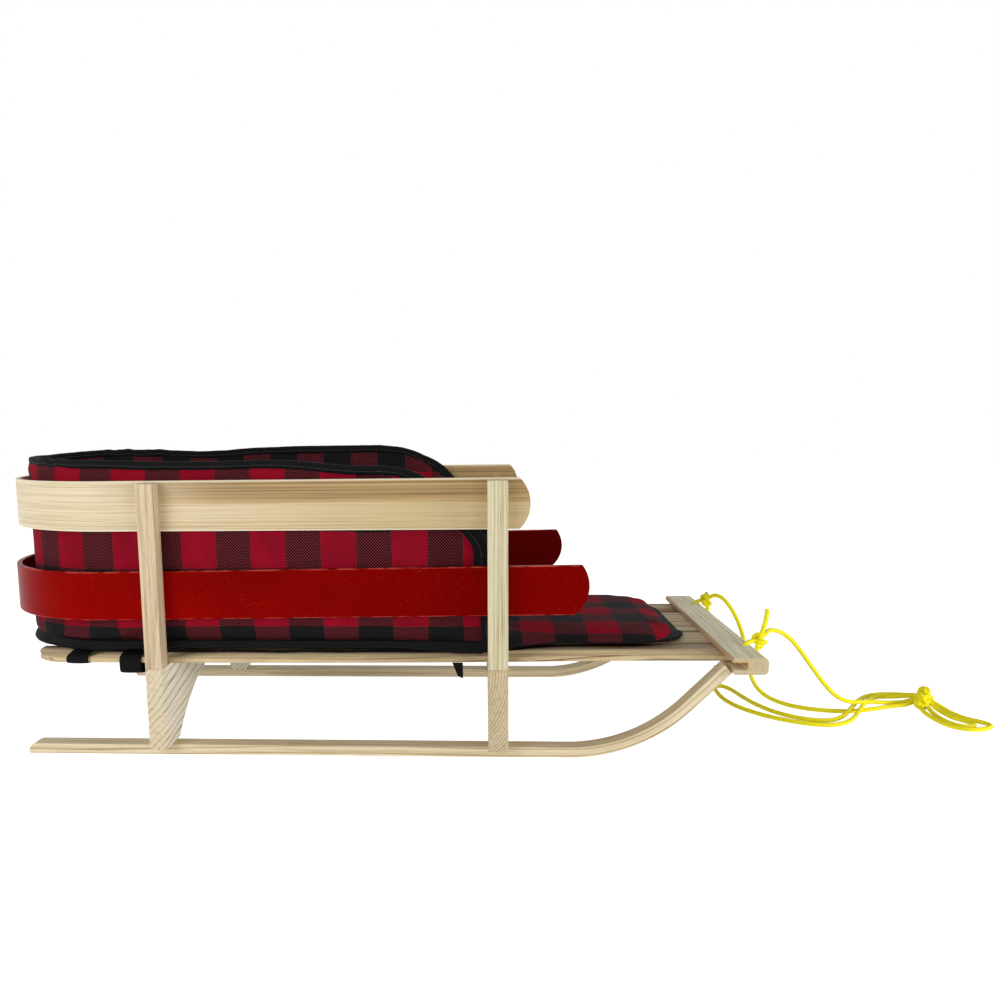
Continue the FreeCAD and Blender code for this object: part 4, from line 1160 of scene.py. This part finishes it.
class SLED_OT_seat_pad(bpy.types.Operator):
    """Fill the flat pad that lies on the slats and bind its edge"""
    bl_idname = "sled.seat_pad"
    bl_label = "Pad seat"

    def execute(self, context):
        low, high = box("seat_cushion")
        x_start, x_end = low.x + 0.006, SEAT_RIGHT[-1][0]
        rows = 61
        stations = np.concatenate([
            x_start + 0.05 * (1 - np.cos(np.linspace(0, math.pi / 2, 14)[:-1])),
            np.linspace(x_start + 0.05, SEAT_FREE, 56)[:-1],
            np.linspace(SEAT_FREE, x_end - 0.020, 52)[:-1],
            x_end - 0.020 + 0.020 * np.sin(np.linspace(0, math.pi / 2, 12)),
        ])
        shares = np.linspace(0, 1, rows)
        shares = 0.5 * shares + 0.25 * (1 - np.cos(math.pi * shares))
        rim_z = low.z + 0.0042
        verts, uvs = [], []
        for upper_layer in (True, False):
            for x in stations:
                right, left = seat_half(x, SEAT_RIGHT), seat_half(x, SEAT_LEFT)
                under_wall = 1 - clamp((x - 0.10) / 0.045)
                row = []
                for y in -right + (right + left) * shares:
                    edge = max(0.0, min(y + right, left - y, x_end - x, x - x_start + 0.004))
                    part = clamp(min((y + right) / 0.052, (left - y) / 0.023, (x_end - x) / 0.017))
                    full = (1 - (1 - part) ** 2.4) ** (1 / 2.4)
                    upper = rim_z + 0.0006 + (high.z + 0.0022 - rim_z) * full
                    lower = rim_z - 0.0006 - (rim_z - 0.0008 - low.z) * min(1, edge / 0.012)
                    tucked = low.z + max(0.0, 0.024 - edge) * 0.5
                    upper += (high.z - 0.0008 - upper) * under_wall
                    lower += (min(tucked, upper - 0.002) - lower) * under_wall
                    row.append((x, y, upper if upper_layer else lower))
                row = np.array(row)
                along = travelled(row)
                along -= np.interp(0.0, row[:, 1], along)
                verts.extend(row)
                uvs.extend((x - 0.1865, v + 0.0950) for v in along)
        piece = fill_pad("pad_seat", verts, uvs, rows, (), 0.0012, self.settle)
        face_outwards(piece)
        dress(piece, bpy.data.materials["buffalo_check"], "plaid_cloth", "seat_cushion")
        self.bind()
        return {"FINISHED"}

    def settle(self, points, count):
        """Keep the pad on the slats and under the wall, with a few soft creases where it is free."""
        low, high = box("seat_cushion")
        soft = ripple(points, 0.05, 11)
        fine = ripple(points * (0.5, 1.4, 1), 0.018, 12)
        inner = box("back_cushion")[1].y - settings("pad").wall_thick
        for i, point in enumerate(points):
            x, y, z = point
            if i < count:
                z += 0.0004 * soft[i] + 0.0005 * fine[i] * (0.3 + clamp((x - 0.112) / 0.06))
                under_wall = x < 0.142 and (abs(y) > inner - 0.006 or x < low.x + 0.02)
                z = min(z, high.z - 0.0003 if under_wall else high.z + 0.0045)
            point[2] = max(z, low.z + 0.0001)

    def bind(self):
        """The black bound seam: hidden under the wall and the right edge, narrow along the left edge
        and a flat flange with a pointed right corner round the front."""
        low, high = box("seat_cushion")
        pad = settings("pad")
        reach = pad.seat_bend - SEAT_TUCK
        bend = [(low.x + pad.seat_bend - reach * math.cos(a), high.y - pad.seat_bend + reach * math.sin(a))
                for a in np.linspace(0, math.pi / 2, 24)]
        outline = bend + SEAT_LEFT + [(x, -y) for x, y in SEAT_RIGHT[::-1] + bend[::-1]]
        flat = evenly(np.array([(x, y, 0.0) for x, y in outline + outline[:1]]), 0.002)
        for _ in range(4):
            flat[1:-1] = 0.25 * flat[:-2] + 0.5 * flat[1:-1] + 0.25 * flat[2:]
        tangents = units(np.gradient(flat, axis=0))
        outs = np.cross(tangents, (0, 0, -1))
        outs = times(outs, np.sign(np.sum(outs * (flat - flat.mean(axis=0)), axis=1)))
        x, y, _ = flat.T
        front = ramp((x - 0.346) / 0.020)
        left_edge = ramp((x - 0.150) / 0.05) * (y > 0) * (1 - front)
        corner = np.exp(-(((y + 0.052) / 0.009) ** 2)) * (x > 0.362)
        ragged = np.exp(-(((x - 0.360) / 0.010) ** 2)) * (y < -0.05)
        jag, roll = ripple(flat, 0.0045, 21), ripple(flat, 0.03, 22)
        half_out = 0.0016 + (pad.flange / 2 - 0.0016) * front + 0.0016 * left_edge + 0.0016 * corner
        half_out = half_out * (1 + 0.05 * jag + 0.30 * ragged * jag)
        half_up = 0.0013 + 0.0004 * front + 0.0006 * left_edge
        line = flat + times(outs, half_out - 0.0030 + 0.0010 * front)
        line[:, 2] = low.z + 0.0036 + 0.0006 * roll + 0.0005 * front + 0.0022 * left_edge + 0.0008 * corner
        outs, ups = leaned(outs, np.tile((0.0, 0.0, 1.0), (len(flat), 1)), -0.10 * front)
        piece = tape_strip("pad_seat_tape", line, outs, ups, half_out, half_up)
        dress(piece, bpy.data.materials["ribbed_tape"], "black_tape", "seat_cushion_tape")


# ---------------------------------------------------------------- outer slats
SLAT_END_ROUND = 0.050
SLAT_CUT_BACK = -0.003


def slat_swing(x):
    """How far outwards an outer slat has swung at a place along the sled.  The two leave the tow bar
    straight and spread towards the rear."""
    back = max(0.0, (0.34 - x) / 0.22)
    return 0.0142 * (1 - math.exp(-back ** 1.6))


class SLED_OT_outer_slats(bpy.types.Operator):
    """Cut the two outer slats, which spread towards the rear and have a rounded rear corner"""
    bl_idname = "sled.outer_slats"
    bl_label = "Outer slats"

    def execute(self, context):
        for node, label in (("seat_slat_1", "first"), ("seat_slat_5", "last")):
            low, high = box(node)
            side = math.copysign(1, low.y)
            inner, outer = sorted((abs(low.y), abs(high.y)))
            rear_x = low.x + SLAT_CUT_BACK
            stations = np.linspace(high.x, rear_x, 40)
            end = outer + slat_swing(rear_x) - SLAT_END_ROUND
            outline = [(x, inner + slat_swing(x)) for x in stations]
            outline += [(rear_x + SLAT_END_ROUND * (1 - math.cos(a)), end + SLAT_END_ROUND * math.sin(a))
                        for a in np.linspace(0, math.pi / 2, 9)[:-1]]
            outline += [(x, outer + slat_swing(x)) for x in stations[::-1] if x > rear_x + SLAT_END_ROUND]
            verts = [(x, y * side, z) for z in (low.z, high.z) for x, y in outline]
            count = len(outline)
            faces = [tuple(range(count)), tuple(range(count, 2 * count))[::-1]]
            piece = piece_from("%s_slat" % label, verts, faces + ring_faces(2, count, capped=False))
            modify(piece, "BEVEL", width=0.0008, segments=2, limit_method="ANGLE")
            face_outwards(piece)
            dress(piece, bpy.data.materials["deck_wood"], "slat_wood", node)
        return {"FINISHED"}


# ---------------------------------------------------------------- straps
class SLED_OT_straps(bpy.types.Operator):
    """Make the webbing straps that hold the pad to the outer slats"""
    bl_idname = "sled.straps"
    bl_label = "Straps"

    def execute(self, context):
        for side in ("right", "left"):
            for place in ("rear", "middle", "front", "tail"):
                node = "pad_strap_%s_%s" % (place, side)
                piece = self.tail(node) if place == "tail" else self.loop(node, place)
                piece.name = "webbing_%s_%s" % (place, side)
                self.lay_cloth(piece)
                dress(piece, bpy.data.materials["ribbed_tape"], "black_webbing", node)
        return {"FINISHED"}

    def loop(self, node, place):
        """A band that goes down past the slat's edge, under it and up again, softly bent."""
        low, high = box(node)
        near, far = (low.y, high.y) if low.y < 0 else (high.y, low.y)
        inward = math.copysign(1, far - near)
        swing = slat_swing((low.x + high.x) / 2)
        near, far = near - inward * (swing + 0.0012), far - inward * swing
        middle = (near + far) / 2
        droop = 0.004 if place == "middle" else 0.001
        profile = [
            (near + inward * 0.026, high.z + 0.007),
            (near + inward * 0.013, high.z + 0.0030),
            (near + inward * 0.0002, high.z + 0.0022),
            (near, (low.z + high.z) / 2),
            (near + inward * 0.001, low.z + 0.002),
            (near + inward * 0.006, low.z - droop * 0.2),
            (middle, low.z - droop * 0.5),
            (far - inward * 0.006, low.z),
            (far - inward * 0.001, low.z + 0.003),
            (far, high.z - 0.001),
        ]
        ends = (low.x + 0.0032, high.x + 0.0058)
        if place == "front":
            profile = [(near + inward * 0.014, low.z + 0.0006), (middle, low.z)] + profile[-3:]
            ends = (low.x, high.x)
        bpy.ops.mesh.primitive_plane_add(size=1)
        piece = bpy.context.object
        set_coordinates(piece, [(x, *corner) for corner in profile[:2] for x in ends])
        activate(piece)
        for here, there in zip(profile[1:], profile[2:]):
            self.extrude_to(piece, here, there)
        modify(piece, "SOLIDIFY", thickness=0.0016, offset=0)
        modify(piece, "SUBSURF", levels=2, render_levels=2)
        face_outwards(piece)
        return piece

    def extrude_to(self, piece, here, there):
        """Carry on the band's last edge from one place of its profile to the next."""
        bpy.ops.object.mode_set(mode="EDIT")
        bpy.ops.mesh.select_all(action="DESELECT")
        bpy.ops.mesh.select_mode(type="EDGE")
        bpy.ops.object.mode_set(mode="OBJECT")
        for edge in piece.data.edges:
            ends = [piece.data.vertices[i].co for i in edge.vertices]
            edge.select = all(abs(co.y - here[0]) < 1e-6 and abs(co.z - here[1]) < 1e-6 for co in ends)
        bpy.ops.object.mode_set(mode="EDIT")
        step = (0, there[0] - here[0], there[1] - here[1])
        bpy.ops.mesh.extrude_region_move(TRANSFORM_OT_translate={"value": step})
        bpy.ops.object.mode_set(mode="OBJECT")

    def tail(self, node):
        """A loose end of webbing, cut at a slant."""
        low, high = box(node)
        bpy.ops.mesh.primitive_cube_add(size=1)
        piece = bpy.context.object
        middle, size = (low + high) / 2, high - low
        out = math.copysign(slat_swing(middle.x) - 0.0015, middle.y)
        points = []
        for v in piece.data.vertices:
            x, z = middle.x + 0.003 + v.co.x * size.x, middle.z + v.co.z * size.z
            if v.co.z > 0:
                z += 0.0014
            elif v.co.x < 0:
                x, z = x + 0.006, z + 0.003
            points.append((x, middle.y + out + v.co.y * size.y, z))
        set_coordinates(piece, points)
        modify(piece, "BEVEL", width=0.0005, segments=2)
        return piece

    def lay_cloth(self, piece):
        """Cloth coordinates for a band: across it, and its height and depth together."""
        mesh = piece.data
        layer = mesh.uv_layers.active or mesh.uv_layers.new(name="UVMap")
        for corner in mesh.loops:
            co = mesh.vertices[corner.vertex_index].co
            layer.data[corner.index].uv = (co.y + co.z, co.x)
        mesh.polygons.foreach_set("use_smooth", [True] * len(mesh.polygons))


# ---------------------------------------------------------------- wood and metal
class SLED_OT_woodwork(bpy.types.Operator):
    """Finish the wooden parts and the screws"""
    bl_idname = "sled.woodwork"
    bl_label = "Wood and screws"

    def execute(self, context):
        wood = settings("wood")
        front_x = box("front_bolster")[0].x
        rear_x = box("rear_bolster")[0].x
        finishes = {
            "runner": runner_wood(),
            "front_bolster": sawn_wood(
                "front_bolster_wood", "xzy", wood.cream, wood.brown, pitch=0.0031, line=1.9, slope=0.06,
                centre=(front_x - 0.082, 0.105), broad=0.22, fuzz=0.08,
                ends=(box("front_bolster")[1].y, linear(196, 174, 134))),
            "rear_bolster": sawn_wood(
                "rear_bolster_wood", "xzy", linear(252, 244, 222), wood.brown, pitch=0.0058, line=1.1,
                slope=0.112, centre=(rear_x - 0.145, 0.190), broad=0.06, fuzz=0.06,
                ends=(box("rear_bolster")[1].y, linear(200, 176, 128))),
            "front_post": sawn_wood(
                "front_post_wood", "xyz", linear(228, 218, 182), linear(146, 126, 88), pitch=0.0033,
                line=0.75, centre=(front_x - 0.200, 0.0), broad=0.16),
            "rear_post": sawn_wood(
                "rear_post_wood", "xyz", linear(224, 203, 168), wood.brown, pitch=0.0040, line=0.7,
                centre=(rear_x + 0.008, -0.02), broad=0.10),
            "seat_slat": sawn_wood(
                "deck_wood", "yzx", linear(217, 195, 153), wood.brown, pitch=0.0052, line=1.0,
                centre=(0.02, -0.05), broad=0.45),
            "tow_bar": tow_bar_wood(),
            "upper_rail": rail_wood(),
            "lower_rail": red_paint(),
            "post_dowels": sawn_wood("peg_wood", "xyz", wood.straw, wood.tan, pitch=0.0020),
        }
        steel = screw_steel()
        finishes["rail_screws"] = touched_up_screws()
        for name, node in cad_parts.items():
            finish = next((made for start, made in finishes.items() if name.startswith(start)), None)
            if finish is None and name.endswith(("_screws", "_brads")):
                finish = steel
            if finish:
                node.data.materials.clear()
                node.data.materials.append(finish)
        return {"FINISHED"}


# ---------------------------------------------------------------- stage
class SLED_OT_stage(bpy.types.Operator):
    """Set up the camera, the lamps and a plain white floor"""
    bl_idname = "sled.stage"
    bl_label = "Stage"

    def execute(self, context):
        stage = settings("stage")
        self.camera(stage)
        self.floor()
        self.lamp("key_lamp", (-0.95, -1.35, 0.62), (-0.15, 0.0, 0.16), 0.9, stage.key_power)
        self.lamp("fill_lamp", (0.95, -1.25, 0.24), (-0.10, 0.0, 0.05), 0.4, stage.fill_power)
        self.lamp("side_lamp", (1.90, -0.75, 0.24), (-0.10, 0.0, 0.06), 0.6, stage.side_power)
        self.lamp("top_lamp", (-0.1, 0.25, 1.9), (0.0, 0.0, 0.1), 1.6, stage.top_power)
        white = (1, 1, 1)
        recipe = Recipe("white_room", bpy.data.worlds, "Background")
        context.scene.world = recipe.owner
        height = recipe.parts(recipe.value("TexCoord", output="Generated"))[2]
        strength = recipe.value("MapRange", {"Value": height, "From Max": 0.9, "To Min": stage.surround * 1.45,
                                             "To Max": stage.surround * 0.45})
        recipe.finish(Color=white, Strength=strength)
        backdrop = recipe.value("Background", {"Color": white})
        lit = Value(recipe, recipe.shader.outputs[0])
        shown = recipe.value("MixShader", {0: recipe.seen(), 1: lit, 2: backdrop})
        recipe.put(recipe.tree.nodes["World Output"].inputs[0], shown)
        context.scene.view_settings.view_transform = "Standard"
        return {"FINISHED"}

    def camera(self, stage):
        """The camera, level with the sled and a little above it."""
        turn, dip, roll = stage.camera_turn, stage.camera_dip, stage.camera_roll
        ahead = Vector((math.sin(turn) * math.cos(dip), math.cos(turn) * math.cos(dip), -math.sin(dip)))
        right = Vector((math.cos(turn), -math.sin(turn), 0))
        upward = right.cross(ahead)
        rolled_right = math.cos(roll) * right + math.sin(roll) * upward
        rolled_up = -math.sin(roll) * right + math.cos(roll) * upward
        bpy.ops.object.camera_add()
        camera = bpy.context.object
        camera.name = "camera"
        axes = Matrix((rolled_right, rolled_up, -ahead)).transposed()
        camera.matrix_world = Matrix.Translation(stage.camera_place) @ axes.to_4x4()
        camera.data.lens = stage.lens
        camera.data.sensor_width = 36
        camera.data.shift_x = 0.0689
        camera.data.shift_y = 0.0446
        camera.data.clip_end = 50
        bpy.context.scene.camera = camera

    def lamp(self, name, place, target, size, power):
        """A soft square lamp that faces a target."""
        light = bpy.data.lights.new(name, "AREA")
        light.size = size
        light.energy = power
        lamp = bpy.data.objects.new(name, light)
        lamp.location = place
        lamp.rotation_euler = (Vector(target) - Vector(place)).to_track_quat("-Z", "Y").to_euler()
        bpy.context.scene.collection.objects.link(lamp)

    def floor(self):
        """A wide white floor that keeps a faint shadow."""
        clear_selection()
        bpy.ops.mesh.primitive_plane_add(size=12)
        floor = bpy.context.object
        floor.name = "floor"
        recipe = Recipe("floor_white")
        recipe.finish(Base_Color=(0.9, 0.9, 0.9), Roughness=0.9, Specular_IOR_Level=0.1)
        glow = recipe.value("Emission", {"Color": (1.0, 1.0, 1.0), "Strength": recipe.seen() * 0.85})
        both = recipe.value("AddShader", {0: Value(recipe, recipe.shader.outputs[0]), 1: glow})
        recipe.put(recipe.tree.nodes["Material Output"].inputs[0], both)
        floor.data.materials.append(recipe.owner)


# ---------------------------------------------------------------- panel and registration
OPERATORS = (SLED_OT_stage, SLED_OT_rope, SLED_OT_woodwork, SLED_OT_wall_pad, SLED_OT_wall_tape,
             SLED_OT_seat_pad, SLED_OT_outer_slats, SLED_OT_straps)
GROUPS = {
    "stage": SledStageSettings,
    "plaid": SledPlaidSettings,
    "pad": SledPadSettings,
    "rope": SledRopeSettings,
    "wood": SledWoodSettings,
}


class SLED_PT_panel(bpy.types.Panel):
    """The sled's pieces in the 3D view's sidebar"""
    bl_idname = "SLED_PT_panel"
    bl_label = "Pull Sled"
    bl_space_type = "VIEW_3D"
    bl_region_type = "UI"
    bl_category = "Pull Sled"

    def draw(self, context):
        for operator in OPERATORS:
            self.layout.operator(operator.bl_idname)
        for name, group in GROUPS.items():
            column = self.layout.column(heading=name.title())
            for key in group.__annotations__:
                column.prop(getattr(context.scene, "sled_" + name), key)


def register():
    for group in GROUPS.values():
        bpy.utils.register_class(group)
    for name, group in GROUPS.items():
        setattr(bpy.types.Scene, "sled_" + name, PointerProperty(type=group))
    for operator in OPERATORS:
        bpy.utils.register_class(operator)
    bpy.utils.register_class(SLED_PT_panel)


def unregister():
    bpy.utils.unregister_class(SLED_PT_panel)
    for operator in reversed(OPERATORS):
        bpy.utils.unregister_class(operator)
    for name, group in GROUPS.items():
        delattr(bpy.types.Scene, "sled_" + name)
        bpy.utils.unregister_class(group)


def main():
    """Make every piece."""
    register()
    for operator in OPERATORS:
        group, name = operator.bl_idname.split(".")
        getattr(getattr(bpy.ops, group), name)()


if __name__ == "__main__":
    main()
